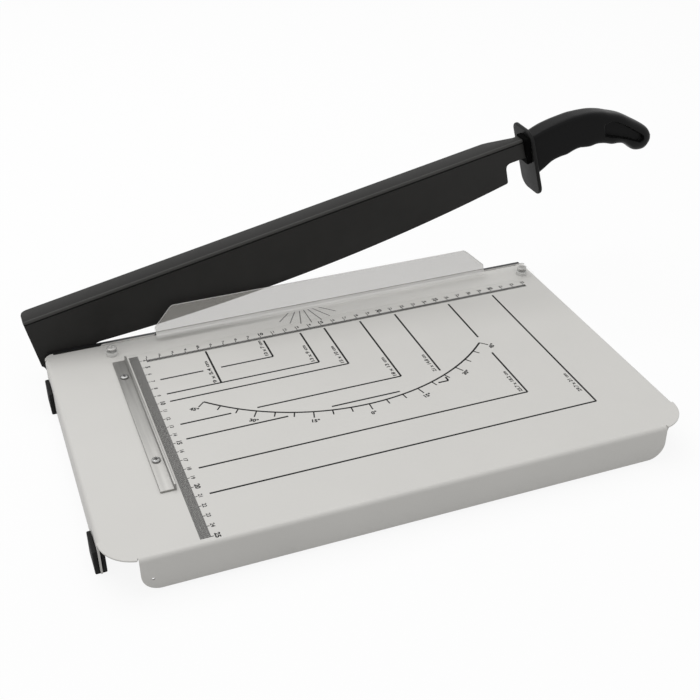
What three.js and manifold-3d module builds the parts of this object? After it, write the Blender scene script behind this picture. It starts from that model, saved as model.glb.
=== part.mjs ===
// Desk guillotine paper cutter with a folded steel table and a swinging blade arm.
// Millimetres. X runs along the cut toward the handle, Y away from the user, Z up.
// The table's left face is at X 0, the cut is at Y 0 and the desk is at Z 0,
// until the last lines put the origin under the middle of the whole object.

import * as THREE from 'three';
import { mergeVertices } from 'three/addons/utils/BufferGeometryUtils.js';
import Module from 'manifold-3d';

const wasm = await Module();
wasm.setup();

// General clearances and roundness
const runningGap = 0.3;
const cutOverrun = 2;
const roundSteps = 24;
const smallSteps = 12;
const arcSteps = 5;
const fewSidesBelow = 3.5;
const turnedFewSidesBelow = 4.8;
const weldDistance = 1e-4;

// Table: one sheet folded down on four sides
const tableLength = 410;
const tableDepth = 250.5;
const tableHeight = 28;
const sheetThickness = 1.2;
const sheetBend = 3;
const skirtHeight = 25.7;
const frontCornerRadius = 25;
const backCornerRadius = 7;
const skirtPastCorner = 4;
const skirtCornerRadius = 12;
const paintHoleRadius = 0.9;
const paintHoleInset = 28;
const paintHoleHeight = 11;

// Bed knife along the back edge
const knifeThickness = 3;
const knifeHeight = 20;
const knifeEndInset = 3;
const knifeScrewCount = 5;
const knifeScrewRadius = 2;
const knifeScrewDrop = 10;
const knifeScrewFirst = 75;
const knifeScrewLastInset = 25;
const knifeScrewHeadRadius = 3.6;
const knifeScrewHeadHeight = 2.4;

// Rubber feet, U-shaped, pushed up over the lower edge of the side flanges
const footLength = 21.3;
const footTall = 18;
const footWall = 2.9;
const frontFootInset = 28.4;
const backFootInset = 18.7;

// Aluminium paper stop, an angle with a low wall on its right
const stopLength = 162.5;
const stopWidth = 10.7;
const stopHeight = 5;
const stopThickness = 1.5;
const stopFaceInset = 57.5;
const stopToGuard = 0.6;
const stopScrewBackInset = 23.3;
const stopScrewFrontInset = 32.8;

// Clear guard over the cut, with an upright flap along its back edge
const guardGap = 3;
const guardThickness = 2;
const guardLeftInset = 42.5;
const guardRightInset = 3.8;
const guardFrontFromCut = 33.7;
const guardBendFromCut = 10.5;
const guardCornerRadius = 5;
const guardScrewInset = 6.8;
const guardScrewFromCut = 20.2;
const guardBendRadius = 3;
const flapRise = 18.6;
const flapLean = 22 * Math.PI / 180;
const flapLeftInset = 43.1;
const flapRightInset = 39.1;
const flapCornerRun = 17.2;
const flapShoulder = 5.2;
const spacerRadius = 4.6;

// Small cross-recess screws and nuts that hold the stop and the guard
const smallScrewRadius = 1.5;
const smallHeadRadius = 3;
const smallHeadHeight = 1.8;
const guardHeadRadius = 3.8;
const guardHeadHeight = 2.4;
const smallNutRadius = 3.1;
const smallNutHeight = 2.4;
const screwTail = 1.2;
const recessWidth = 0.8;
const recessDepthShare = 0.45;
const recessReachShare = 0.62;
const headRimShare = 0.5;
const headCrownShare = 0.72;

// Pivot at the back left, under the table top
const pivotInset = 14.9;
const pivotHeight = 16.3;
const pivotBoltRadius = 5;
const pivotHeadRadius = 8.6;
const pivotHeadHeight = 6;
const pivotWasherRadius = 9.5;
const pivotWasherHeight = 1.5;
const springDiscRadius = 8.3;
const springDiscThickness = 1.1;
const springDiscCone = 1.2;
const pivotNutRadius = 8.2;
const pivotNutHeight = 7;
const bracketThickness = 4;
const bracketLength = 40;
const bracketTall = 17;
const bracketScrewInset = 7;
const bracketScrewSpread = 5;

// Blade arm: a long L-section, flat face toward the table, flange folded away from it
const armRaise = 11.5 * Math.PI / 180;
const armThickness = 2.5;
const armBend = 3.2;
const armHeel = 17;
const armRise = 45;
const heelRadius = 15;
const heelTurn = 25.7 * Math.PI / 180;
const heelRunShare = 1.4;
const bladeStart = 31.5;
const bladeStartDrop = 38.5;
const bladeReach = 387;
const bladeTipDrop = 34.2;
const bladeBelly = 56;
const bladeBellyReach = 215;
const bladeTipRadius = 2;
const bladeBevel = 5;
const bladeEdgeThickness = 0.4;
const tangDepth = 16.8;
const tangFillet = 5;
const tangInGrip = 47;
const tangTopDrop = 6;
const tangShoulder = 2.2;
const flangeHeelWidth = 18.5;
const flangeTipWidth = 17.4;
const flangeTangWidth = 9.6;
const flangeTaperBeforeTip = 10;
const flangeTaperPastTip = 13;
const flangeCornerRadius = 6;

// Hilt plate, the sleeve around the tang and the moulded grip
const hiltFromBlade = 23.5;
const hiltThickness = 3.2;
const hiltWidth = 32;
const hiltTall = 60.5;
const hiltTop = 5.8;
const hiltCornerRadius = 9.5;
const hiltFarTopRadius = 7;
const hiltEdge = 0.9;
const hiltMiddle = 10.7;
const handleLean = 2.8 * Math.PI / 180;
const handleMiddle = 7;
const sleeveLength = 6.5;
const sleeveTop = 1.5;
const sleeveDrop = 23;
const sleeveNearTop = 5;
const sleeveNearBottom = 1.5;
const sleeveFar = 11.2;
const sleeveCorner = 1.5;
const gripLength = 110.93;
const gripDrop = 57;
const gripTop = 6;
const gripHalfWidth = 11.2;
const gripStations = 38;
const gripSides = 20;
const gripFarSquareness = 2.5;
const gripScrewFirst = 21;
const gripScrewPitch = 17;
const gripScrewDrop = 11.4;
const gripScrewDepth = 16;
const gripHeadSink = 3;
const pocketDepth = 5.5;

// Grip outline seen from the side: [share of its length, share of its drop]
const gripTopShares = [
  [0, 0.086], [0.1, 0.042], [0.2, 0.022], [0.3, 0.018], [0.37, 0.023], [0.5, 0.065], [0.59, 0.124],
  [0.655, 0.187], [0.76, 0.299], [0.866, 0.466], [0.94, 0.594], [0.975, 0.673], [1, 0.786],
];
const gripBottomShares = [
  [0, 0.7], [0.05, 0.655], [0.12, 0.588], [0.19, 0.567], [0.25, 0.568], [0.31, 0.545],
  [0.36, 0.541], [0.4, 0.563], [0.45, 0.587], [0.51, 0.592], [0.575, 0.633], [0.645, 0.702],
  [0.7, 0.728], [0.745, 0.768], [0.785, 0.84], [0.825, 0.925], [0.87, 0.97], [0.925, 0.98],
  [0.965, 0.93], [0.99, 0.865], [1, 0.825],
];
const gripNearSquareness = [[0, 6], [0.35, 5], [0.6, 3.4], [0.85, 2.8], [1, 2.4]];
const gripWidthShares = [[0, 0.92], [0.15, 0.98], [0.4, 1], [0.7, 0.97], [0.9, 0.86], [0.97, 0.66], [1, 0.3]];

// Recess in the grip's near side: its upper and lower edges in shares of the grip's length and drop
const pocketTopShares = [
  [0.58, 0.32], [0.64, 0.3], [0.69, 0.35], [0.74, 0.425], [0.79, 0.5], [0.84, 0.59], [0.882, 0.668],
  [0.912, 0.735],
];
const pocketBottomShares = [
  [0.908, 0.795], [0.878, 0.805], [0.835, 0.76], [0.784, 0.696], [0.733, 0.644], [0.683, 0.592],
  [0.624, 0.542], [0.575, 0.49],
];

// Places worked out from the sizes above
const tableBack = -knifeThickness;
const tableFront = tableBack - tableDepth;
const tableUnderside = tableHeight - sheetThickness;
const skirtBottom = tableHeight - skirtHeight;
const skirtInner = tableBack - sheetThickness;
const knifeScrewHeight = tableHeight - knifeScrewDrop;
const guardLeft = guardLeftInset;
const guardRight = tableLength - guardRightInset;
const guardFront = -guardFrontFromCut;
const guardUnderside = tableHeight + guardGap;
const guardTop = guardUnderside + guardThickness;
const flapLeft = guardLeft + flapLeftInset;
const flapRight = guardRight - flapRightInset;
const stopRight = stopFaceInset;
const stopLeft = stopRight - stopWidth;
const stopBack = guardFront - stopToGuard;
const stopFront = stopBack - stopLength;
const stopScrewX = stopLeft + (stopWidth - stopThickness) / 2;
const guardScrewY = -guardScrewFromCut;
const armFront = runningGap;
const armBack = armFront + armThickness;
const flangeUnder = armRise - armThickness;
const tangBottom = armRise - tangDepth;
const hiltReach = bladeReach + hiltFromBlade;
const hiltBack = hiltReach + hiltThickness;
const sleeveBack = hiltReach - runningGap;
const gripStart = hiltBack + runningGap;
const tangReach = gripStart + tangInGrip;
const flangeEnd = hiltReach - tangShoulder;
const tangTop = armRise - tangTopDrop;
const leanHeight = armRise + hiltTop - hiltTall / 2;
const bracketLeft = sheetBend + runningGap;

// Finishes
const tablePaint = new THREE.MeshStandardMaterial({ color: 0xcdccc8, roughness: 0.5, metalness: 0.1 });
const blackSteel = new THREE.MeshStandardMaterial({ color: 0x2a2a29, roughness: 0.42, metalness: 0.5 });
const brightSteel = new THREE.MeshStandardMaterial({ color: 0xb9bbbd, roughness: 0.3, metalness: 0.9 });
const aluminium = new THREE.MeshStandardMaterial({ color: 0xb1b0ab, roughness: 0.35, metalness: 0.9 });
const acrylic = new THREE.MeshStandardMaterial({ color: 0xd9dad6, roughness: 0.12, metalness: 0 });
const rubber = new THREE.MeshStandardMaterial({ color: 0x1c1b1c, roughness: 0.8, metalness: 0 });
const gripPlastic = new THREE.MeshStandardMaterial({ color: 0x1e1f20, roughness: 0.4, metalness: 0 });

// Solids: three.js geometry in, manifold solid out, and back
function solidOf(geometry) {
  const bare = geometry.index ? geometry : geometry.clone();
  bare.deleteAttribute('normal');
  bare.deleteAttribute('uv');
  const merged = mergeVertices(bare, weldDistance);
  const vertProperties = new Float32Array(merged.attributes.position.array);
  const triVerts = new Uint32Array(merged.index.array);
  return new wasm.Manifold(new wasm.Mesh({ numProp: 3, vertProperties, triVerts }));
}

function geometryOf(solid) {
  const mesh = solid.getMesh();
  const geometry = new THREE.BufferGeometry();
  geometry.setAttribute('position', new THREE.BufferAttribute(mesh.vertProperties, 3));
  geometry.setIndex(new THREE.BufferAttribute(mesh.triVerts, 1));
  geometry.computeVertexNormals();
  return geometry;
}

function joined(solids) {
  return solids.reduce((sum, next) => sum.add(next));
}

function without(solid, cuts) {
  return cuts.reduce((rest, cut) => rest.subtract(cut), solid);
}

// A box between two corners
function boxBetween(low, high) {
  const geometry = new THREE.BoxGeometry(high[0] - low[0], high[1] - low[1], high[2] - low[2]);
  geometry.translate((low[0] + high[0]) / 2, (low[1] + high[1]) / 2, (low[2] + high[2]) / 2);
  return solidOf(geometry);
}

function extruded(shape, depth) {
  return new THREE.ExtrudeGeometry(shape, { depth, bevelEnabled: false, curveSegments: arcSteps });
}

// Outline in X and Y, raised from z0 to z1
function prismUp(shape, z0, z1) {
  return solidOf(extruded(shape, z1 - z0).translate(0, 0, z0));
}

// Outline in Y and Z, run from x0 to x1
function prismAlongX(shape, x0, x1) {
  const turn = new THREE.Matrix4().makeBasis(
    new THREE.Vector3(0, 1, 0), new THREE.Vector3(0, 0, 1), new THREE.Vector3(1, 0, 0));
  return solidOf(extruded(shape, x1 - x0).applyMatrix4(turn).translate(x0, 0, 0));
}

// Outline in X and Z, run from y0 to y1
function prismAlongY(shape, y0, y1) {
  const turn = new THREE.Matrix4().makeBasis(
    new THREE.Vector3(1, 0, 0), new THREE.Vector3(0, 0, 1), new THREE.Vector3(0, -1, 0));
  return solidOf(extruded(shape, y1 - y0).applyMatrix4(turn).translate(0, y1, 0));
}

function polygon(points) {
  return new THREE.Shape(points.map(([u, v]) => new THREE.Vector2(u, v)));
}

// Round rod between two places on a line along X, Y or Z
function rod(radius, start, length, axis) {
  const sides = radius > fewSidesBelow ? roundSteps : smallSteps;
  const geometry = new THREE.CylinderGeometry(radius, radius, length, sides);
  geometry.translate(0, length / 2, 0);
  if (axis === 'z') geometry.rotateX(Math.PI / 2);
  if (axis === 'x') geometry.rotateZ(-Math.PI / 2);
  return solidOf(geometry.translate(...start));
}

// Turned piece about the Z axis from a closed [radius, height] profile
function turned(profile) {
  const points = profile.map(([radius, height]) => new THREE.Vector2(radius, height));
  const widest = Math.max(...points.map((point) => point.x));
  const sides = widest > turnedFewSidesBelow ? roundSteps : smallSteps;
  const geometry = new THREE.LatheGeometry([...points, points[0]], sides);
  return solidOf(geometry.rotateX(Math.PI / 2));
}

// Closed skin through rings that all have the same number of points
function loft(rings) {
  const sides = rings[0].length;
  const places = rings.flat(2);
  const faces = [];
  for (let ring = 0; ring + 1 < rings.length; ring++) {
    for (let side = 0; side < sides; side++) {
      const next = (side + 1) % sides;
      const [a, b] = [ring * sides + side, ring * sides + next];
      faces.push(a, b, a + sides, b, b + sides, a + sides);
    }
  }
  const lastRing = (rings.length - 1) * sides;
  for (let side = 1; side + 1 < sides; side++) {
    faces.push(0, side + 1, side);
    faces.push(lastRing, lastRing + side, lastRing + side + 1);
  }
  const geometry = new THREE.BufferGeometry();
  geometry.setAttribute('position', new THREE.Float32BufferAttribute(places, 3));
  geometry.setIndex(faces);
  return solidOf(geometry);
}

// Smooth value through [place, value] shares, by a cubic between neighbours
function smoothShare(shares, place) {
  const last = shares.length - 1;
  const found = shares.findIndex(([at]) => at >= place);
  const right = Math.max(1, found < 0 ? last : found);
  const left = right - 1;
  const slope = (index) => {
    const before = shares[Math.max(0, index - 1)];
    const after = shares[Math.min(last, index + 1)];
    return (after[1] - before[1]) / (after[0] - before[0]);
  };
  const span = shares[right][0] - shares[left][0];
  const t = (place - shares[left][0]) / span;
  const [t2, t3] = [t * t, t * t * t];
  return (2 * t3 - 3 * t2 + 1) * shares[left][1] + (t3 - 2 * t2 + t) * span * slope(left)
    + (3 * t2 - 2 * t3) * shares[right][1] + (t3 - t2) * span * slope(right);
}

function roundedRectangle(x0, y0, x1, y1, lowRadius, highRadius) {
  const shape = new THREE.Shape();
  shape.moveTo(x0 + lowRadius, y0);
  shape.lineTo(x1 - lowRadius, y0);
  shape.absarc(x1 - lowRadius, y0 + lowRadius, lowRadius, -Math.PI / 2, 0);
  shape.lineTo(x1, y1 - highRadius);
  shape.absarc(x1 - highRadius, y1 - highRadius, highRadius, 0, Math.PI / 2);
  shape.lineTo(x0 + highRadius, y1);
  shape.absarc(x0 + highRadius, y1 - highRadius, highRadius, Math.PI / 2, Math.PI);
  shape.lineTo(x0, y0 + lowRadius);
  shape.absarc(x0 + lowRadius, y0 + lowRadius, lowRadius, Math.PI, Math.PI * 3 / 2);
  return shape;
}

// Fold section: a level leg, a bend and a wall going down, its outer face at u = face
function foldShape(face, top, bottom, inward, thickness, bend, leg) {
  const shape = new THREE.Shape();
  const turnU = face + inward * bend;
  const clockwise = inward < 0;
  shape.moveTo(face, bottom);
  shape.lineTo(face, top - bend);
  shape.absarc(turnU, top - bend, bend, clockwise ? 0 : Math.PI, Math.PI / 2, !clockwise);
  shape.lineTo(turnU + inward * leg, top);
  shape.lineTo(turnU + inward * leg, top - thickness);
  shape.lineTo(turnU, top - thickness);
  shape.absarc(turnU, top - bend, bend - thickness, Math.PI / 2, clockwise ? 0 : Math.PI, clockwise);
  shape.lineTo(face + inward * thickness, bottom);
  return shape;
}

// Folded sheet table
function tablePlate() {
  const plan = roundedRectangle(0, tableFront, tableLength, tableBack, frontCornerRadius, backCornerRadius);
  const frontX0 = frontCornerRadius - skirtPastCorner;
  const frontX1 = tableLength - frontX0;
  const backX0 = backCornerRadius;
  const backX1 = tableLength - backCornerRadius;
  const sideY0 = tableFront + frontCornerRadius;
  const sideY1 = tableBack - backCornerRadius;
  const low = tableUnderside - cutOverrun;
  const high = tableHeight + cutOverrun;
  const flat = without(prismUp(plan, tableUnderside, tableHeight), [
    boxBetween([frontX0, tableFront - cutOverrun, low], [frontX1, tableFront + sheetBend, high]),
    boxBetween([backX0, tableBack - sheetBend, low], [backX1, tableBack + cutOverrun, high]),
    boxBetween([-cutOverrun, sideY0, low], [sheetBend, sideY1, high]),
    boxBetween([tableLength - sheetBend, sideY0, low], [tableLength + cutOverrun, sideY1, high]),
  ]);
  const fold = (face, inward) => foldShape(
    face, tableHeight, skirtBottom, inward, sheetThickness, sheetBend, sheetBend);
  const skirtMask = prismAlongY(
    roundedRectangle(frontX0, skirtBottom, frontX1, high, skirtCornerRadius, 0),
    tableFront - cutOverrun, tableFront + sheetBend + sheetBend + cutOverrun);
  const frontSkirt = prismAlongX(fold(tableFront, 1), frontX0, frontX1).intersect(skirtMask);
  const backSkirt = prismAlongX(fold(tableBack, -1), backX0, backX1);
  const leftFlange = prismAlongY(fold(0, 1), sideY0, sideY1);
  const rightFlange = prismAlongY(fold(tableLength, -1), sideY0, sideY1);
  return without(joined([flat, frontSkirt, backSkirt, leftFlange, rightFlange]), [
    ...topScrewPlaces().map(([x, y]) => rod(
      smallScrewRadius + runningGap, [x, y, low], high - low, 'z')),
    ...knifeScrewPlaces().map((x) => crossHole(knifeScrewRadius, x, knifeScrewHeight)),
    ...bracketScrewPlaces().map(([x, z]) => crossHole(knifeScrewRadius, x, z)),
    crossHole(pivotBoltRadius, pivotInset, pivotHeight),
    rod(paintHoleRadius, [paintHoleInset, tableFront - cutOverrun, paintHoleHeight],
      sheetThickness + 2 * cutOverrun, 'y'),
  ]);
}

// Hole along Y through the bracket, the back skirt and the knife
function crossHole(radius, x, z) {
  const start = skirtInner - bracketThickness - cutOverrun;
  return rod(radius + runningGap, [x, start, z], cutOverrun - start, 'y');
}

function guardScrewPlaces() {
  return [guardLeft + guardScrewInset, guardRight - guardScrewInset].map((x) => [x, guardScrewY]);
}

function stopScrewPlaces() {
  return [stopBack - stopScrewBackInset, stopFront + stopScrewFrontInset].map((y) => [stopScrewX, y]);
}

function topScrewPlaces() {
  return [...guardScrewPlaces(), ...stopScrewPlaces()];
}

function knifeScrewPlaces() {
  const run = tableLength - knifeScrewLastInset - knifeScrewFirst;
  return Array.from({ length: knifeScrewCount }, (_, i) => knifeScrewFirst + run * i / (knifeScrewCount - 1));
}

function bracketScrewPlaces() {
  const x = bracketLeft + bracketLength - bracketScrewInset;
  return [[x, pivotHeight + bracketScrewSpread], [x, pivotHeight - bracketScrewSpread]];
}

// Steel bar that the blade cuts against
function bedKnife() {
  const bar = boxBetween(
    [knifeEndInset, -knifeThickness, tableHeight - knifeHeight],
    [tableLength - knifeEndInset, 0, tableHeight]);
  return without(bar, [
    ...knifeScrewPlaces().map((x) => crossHole(knifeScrewRadius, x, knifeScrewHeight)),
    ...bracketScrewPlaces().map(([x, z]) => crossHole(knifeScrewRadius, x, z)),
    crossHole(pivotBoltRadius, pivotInset, pivotHeight),
  ]);
}

// Screw standing on Z 0 under its head: domed head up, shank down, cross recess in the head
function panScrew(radius, length, headRadius, headHeight) {
  const head = [
    [0, -length], [radius, -length], [radius, 0], [headRadius, 0],
    [headRadius, headHeight * headRimShare], [headRadius * headCrownShare, headHeight], [0, headHeight],
  ];
  const reach = headRadius * recessReachShare;
  const deep = headHeight * (1 - recessDepthShare);
  const top = headHeight + cutOverrun;
  const half = recessWidth / 2;
  return without(turned(head), [
    boxBetween([-reach, -half, deep], [reach, half, top]),
    boxBetween([-half, -reach, deep], [half, reach, top]),
  ]);
}

function hexNut(radius, height, hole) {
  const nut = solidOf(new THREE.CylinderGeometry(radius, radius, height, 6)
    .translate(0, height / 2, 0).rotateX(Math.PI / 2));
  return nut.subtract(rod(hole + runningGap, [0, 0, -cutOverrun], height + 2 * cutOverrun, 'z'));
}

function washer(radius, height, hole) {
  return turned([[hole + runningGap, 0], [radius, 0], [radius, height], [hole + runningGap, height]]);
}

// U-shaped foot under a side flange; flangeOuter is the flange's outer face, side its inward sense
function rubberFoot(flangeOuter, inward, yFront) {
  const outer = flangeOuter - inward * (footWall + runningGap);
  const inner = flangeOuter + inward * (sheetThickness + runningGap + footWall);
  const [left, right] = [Math.min(outer, inner), Math.max(outer, inner)];
  const slotOuter = flangeOuter - inward * runningGap;
  const slotInner = flangeOuter + inward * (sheetThickness + runningGap);
  const [slotLeft, slotRight] = [Math.min(slotOuter, slotInner), Math.max(slotOuter, slotInner)];
  const section = polygon([
    [left, 0], [right, 0], [right, footTall], [slotRight, footTall],
    [slotRight, skirtBottom], [slotLeft, skirtBottom], [slotLeft, footTall], [left, footTall],
  ]);
  return prismAlongY(section, yFront, yFront + footLength);
}

// Aluminium angle: a flange on the table, a low wall along its right edge
function paperStop() {
  const section = polygon([
    [stopLeft, tableHeight], [stopRight, tableHeight], [stopRight, tableHeight + stopHeight],
    [stopRight - stopThickness, tableHeight + stopHeight],
    [stopRight - stopThickness, tableHeight + stopThickness], [stopLeft, tableHeight + stopThickness],
  ]);
  const holes = stopScrewPlaces().map(([x, y]) => rod(
    smallScrewRadius + runningGap, [x, y, tableHeight - cutOverrun], stopHeight + 2 * cutOverrun, 'z'));
  return without(prismAlongY(section, stopFront, stopBack), holes);
}

// Clear guard: a flat strip with round corners and a leaning flap with cut corners
function bladeGuard() {
  const bendY = -guardBendFromCut;
  const strip = prismUp(
    roundedRectangle(guardLeft, guardFront, guardRight, bendY, guardCornerRadius, guardThickness),
    guardUnderside, guardTop);
  const outer = guardBendRadius + guardThickness;
  const turn = Math.PI / 2 - flapLean;
  const centre = [bendY - outer, guardUnderside + outer];
  const flap = new THREE.Shape();
  const level = [centre[0] - guardThickness, guardUnderside];
  flap.moveTo(level[0], level[1]);
  flap.absarc(centre[0], centre[1], outer, -Math.PI / 2, -Math.PI / 2 + turn);
  const slope = [Math.cos(turn), Math.sin(turn)];
  const start = [centre[0] + outer * Math.sin(turn), centre[1] - outer * Math.cos(turn)];
  const run = (guardTop + flapRise - start[1]) / slope[1];
  const tip = [start[0] + slope[0] * run, start[1] + slope[1] * run];
  flap.lineTo(tip[0], tip[1]);
  flap.lineTo(tip[0] - guardThickness * slope[1], tip[1] + guardThickness * slope[0]);
  flap.absarc(centre[0], centre[1], guardBendRadius, -Math.PI / 2 + turn, -Math.PI / 2, true);
  flap.lineTo(level[0], level[1] + guardThickness);
  const top = guardTop + flapRise + guardThickness;
  const shoulder = guardTop + flapShoulder;
  const mask = polygon([
    [flapLeft, guardUnderside - cutOverrun], [flapRight, guardUnderside - cutOverrun],
    [flapRight, shoulder], [flapRight - flapCornerRun, top], [flapLeft + flapCornerRun, top],
    [flapLeft, shoulder],
  ]);
  const raised = prismAlongX(flap, flapLeft, flapRight).intersect(prismAlongY(mask, guardFront, 0));
  const relief = boxBetween(
    [flapLeft, centre[0], guardUnderside - cutOverrun], [flapRight, cutOverrun, guardTop + cutOverrun]);
  const holes = guardScrewPlaces().map(([x, y]) => rod(
    smallScrewRadius + runningGap, [x, y, guardUnderside - cutOverrun],
    guardThickness + 2 * cutOverrun, 'z'));
  return without(strip.subtract(relief).add(raised), holes);
}

// Thick plate behind the back skirt that carries the pivot
function pivotBracket() {
  const bar = boxBetween(
    [bracketLeft, skirtInner - bracketThickness, pivotHeight - bracketTall / 2],
    [bracketLeft + bracketLength, skirtInner, pivotHeight + bracketTall / 2]);
  return without(bar, [
    crossHole(pivotBoltRadius, pivotInset, pivotHeight),
    ...bracketScrewPlaces().map(([x, z]) => crossHole(knifeScrewRadius, x, z)),
  ]);
}

// Pivot bolt, its head on Z 0 upward and its shank downward
function pivotBolt(length) {
  const head = solidOf(new THREE.CylinderGeometry(pivotHeadRadius, pivotHeadRadius, pivotHeadHeight, 6)
    .translate(0, pivotHeadHeight / 2, 0).rotateX(Math.PI / 2));
  return head.add(rod(pivotBoltRadius, [0, 0, -length], length + pivotHeadHeight / 2, 'z'));
}

// Cone-shaped spring disc, its wide rim on Z 0
function springDisc() {
  const hole = pivotBoltRadius + runningGap;
  return turned([
    [hole, springDiscCone], [springDiscRadius, 0], [springDiscRadius, springDiscThickness],
    [hole, springDiscCone + springDiscThickness],
  ]);
}

// Side view of the arm's flat face, about the pivot
function armFaceShape() {
  const shape = new THREE.Shape();
  const top = armRise - armBend;
  const heelEndX = heelRadius * Math.cos(heelTurn);
  const edgeStart = armRise - bladeStartDrop;
  const edgeTip = armRise - bladeTipDrop;
  shape.moveTo(-armHeel, top);
  shape.lineTo(-armHeel, heelRadius / 4);
  shape.quadraticCurveTo(-heelRadius, heelRadius / 8, -heelRadius, 0);
  shape.absarc(0, 0, heelRadius, Math.PI, 2 * Math.PI - heelTurn);
  shape.quadraticCurveTo(heelEndX * heelRunShare, edgeStart, bladeStart, edgeStart);
  shape.quadraticCurveTo(bladeBellyReach, armRise - bladeBelly, bladeReach - bladeTipRadius, edgeTip);
  shape.quadraticCurveTo(bladeReach, edgeTip, bladeReach, edgeTip + bladeTipRadius);
  shape.lineTo(bladeReach, tangBottom - tangFillet);
  shape.quadraticCurveTo(bladeReach, tangBottom, bladeReach + tangFillet, tangBottom);
  shape.lineTo(tangReach, tangBottom);
  shape.lineTo(tangReach, tangTop);
  shape.lineTo(flangeEnd, tangTop);
  shape.lineTo(flangeEnd, top);
  return shape;
}

// Plan of the flange, wide along the blade and narrow along the tang
function flangePlan() {
  const shape = new THREE.Shape();
  const near = armFront + armBend;
  shape.moveTo(-armHeel, near);
  shape.lineTo(flangeEnd, near);
  shape.lineTo(flangeEnd, flangeTangWidth);
  shape.lineTo(bladeReach + flangeTaperPastTip, flangeTangWidth);
  shape.lineTo(bladeReach - flangeTaperBeforeTip, flangeTipWidth);
  shape.lineTo(flangeCornerRadius - armHeel, flangeHeelWidth);
  shape.quadraticCurveTo(-armHeel, flangeHeelWidth, -armHeel, flangeHeelWidth - flangeCornerRadius);
  return shape;
}

// Wedge that grinds the blade's back side to its cutting edge
function bevelCut() {
  const curve = new THREE.QuadraticBezierCurve(
    new THREE.Vector2(bladeStart, armRise - bladeStartDrop),
    new THREE.Vector2(bladeBellyReach, armRise - bladeBelly),
    new THREE.Vector2(bladeReach, armRise - bladeTipDrop));
  const rings = curve.getPoints(roundSteps).map((point) => [
    [point.x, armFront + bladeEdgeThickness, point.y - cutOverrun * 2],
    [point.x, armBack + cutOverrun, point.y - cutOverrun * 2],
    [point.x, armBack + cutOverrun, point.y + bladeBevel * 2],
    [point.x, armBack, point.y + bladeBevel],
    [point.x, armFront + bladeEdgeThickness, point.y],
  ]);
  const past = rings[rings.length - 1].map(([x, y, z]) => [x + cutOverrun, y, z]);
  return loft([...rings, past]);
}

// Blade arm with its face, bend, flange and tang in one folded piece
function cuttingArm() {
  const face = prismAlongY(armFaceShape(), armFront, armBack);
  const bend = prismAlongX(foldShape(
    armFront, armRise, armRise - armBend * 2, 1, armThickness, armBend, armThickness), -armHeel, flangeEnd);
  const flange = prismUp(flangePlan(), flangeUnder, armRise);
  const holes = gripScrewPlaces().map((x) => rod(
    knifeScrewRadius + runningGap, [x, armFront - cutOverrun, armRise - gripScrewDrop],
    armThickness + 2 * cutOverrun, 'y'));
  const pivotHole = rod(
    pivotBoltRadius + runningGap, [0, armFront - cutOverrun, 0], armThickness + 2 * cutOverrun, 'y');
  return without(joined([face, bend, flange]), [bevelCut(), pivotHole, ...holes]);
}

function gripScrewPlaces() {
  return [gripScrewFirst, gripScrewFirst + gripScrewPitch].map((x) => gripStart + x);
}

// How far a point of the handle at a height leans back toward the pivot
function leanAt(height) {
  return -Math.tan(handleLean) * (height - leanHeight);
}

// Rings along the arm through outlines in Y and height, leaning with the handle
function leaningLoft(sections) {
  return loft(sections.map(([x, points]) => points.map(([y, z]) => [x + leanAt(z), y, z])));
}

// Slot for the flat tang, from x0 to x1
function tangSlot(x0, x1) {
  return boxBetween(
    [x0, armFront - runningGap, tangBottom - runningGap], [x1, armBack + runningGap, tangTop + runningGap]);
}

// Wider slot for the tang and its flange, from x0 to x1
function flangeSlot(x0, x1) {
  return boxBetween(
    [x0, armFront - runningGap, tangBottom - runningGap],
    [x1, flangeTangWidth + runningGap, armRise + runningGap]);
}

// Points around one rounded corner of an outline whose corners go round anticlockwise
function cornerArc(y, z, radius, outY, outZ) {
  const start = Math.atan2(outZ, outY) - Math.PI / 4;
  return Array.from({ length: arcSteps + 1 }, (_, i) => {
    const angle = start + Math.PI / 2 * i / arcSteps;
    return [y - outY * radius + radius * Math.cos(angle), z - outZ * radius + radius * Math.sin(angle)];
  });
}

// Rounded plate between the arm and the grip, with softened edges
function hiltPlate() {
  const outline = (inset) => {
    const near = hiltMiddle - hiltWidth / 2 + inset;
    const far = hiltMiddle + hiltWidth / 2 - inset;
    const top = armRise + hiltTop - inset;
    const low = armRise + hiltTop - hiltTall + inset;
    const corners = [
      [far, low, hiltCornerRadius, 1, -1], [far, top, hiltFarTopRadius, 1, 1],
      [near, top, hiltCornerRadius, -1, 1], [near, low, hiltCornerRadius, -1, -1],
    ];
    return corners.flatMap(([y, z, radius, outY, outZ]) => cornerArc(y, z, radius - inset, outY, outZ));
  };
  const plate = leaningLoft([
    [hiltReach, outline(hiltEdge)], [hiltReach + hiltEdge, outline(0)],
    [hiltBack - hiltEdge, outline(0)], [hiltBack, outline(hiltEdge)],
  ]);
  return plate.subtract(tangSlot(hiltReach - hiltTall, hiltBack + hiltTall));
}

// Black sleeve that fills the space around the tang in front of the hilt plate
function tangSleeve() {
  const outline = (inset) => {
    const top = armRise + sleeveTop - inset;
    const low = armRise - sleeveDrop + inset;
    const far = sleeveFar - inset;
    const nearTop = inset - sleeveNearTop;
    const nearLow = inset - sleeveNearBottom;
    return [
      [nearTop, top - sleeveCorner], [nearLow, low + sleeveCorner], [nearLow + sleeveCorner, low],
      [far - sleeveCorner, low], [far, low + sleeveCorner], [far, top - sleeveCorner],
      [far - sleeveCorner, top], [nearTop + sleeveCorner, top],
    ];
  };
  const start = sleeveBack - sleeveLength;
  const body = leaningLoft([
    [start, outline(sleeveCorner / 2)], [start + sleeveCorner / 2, outline(0)], [sleeveBack, outline(0)],
  ]);
  return body.subtract(flangeSlot(start - hiltTall, sleeveBack + hiltTall));
}

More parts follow.
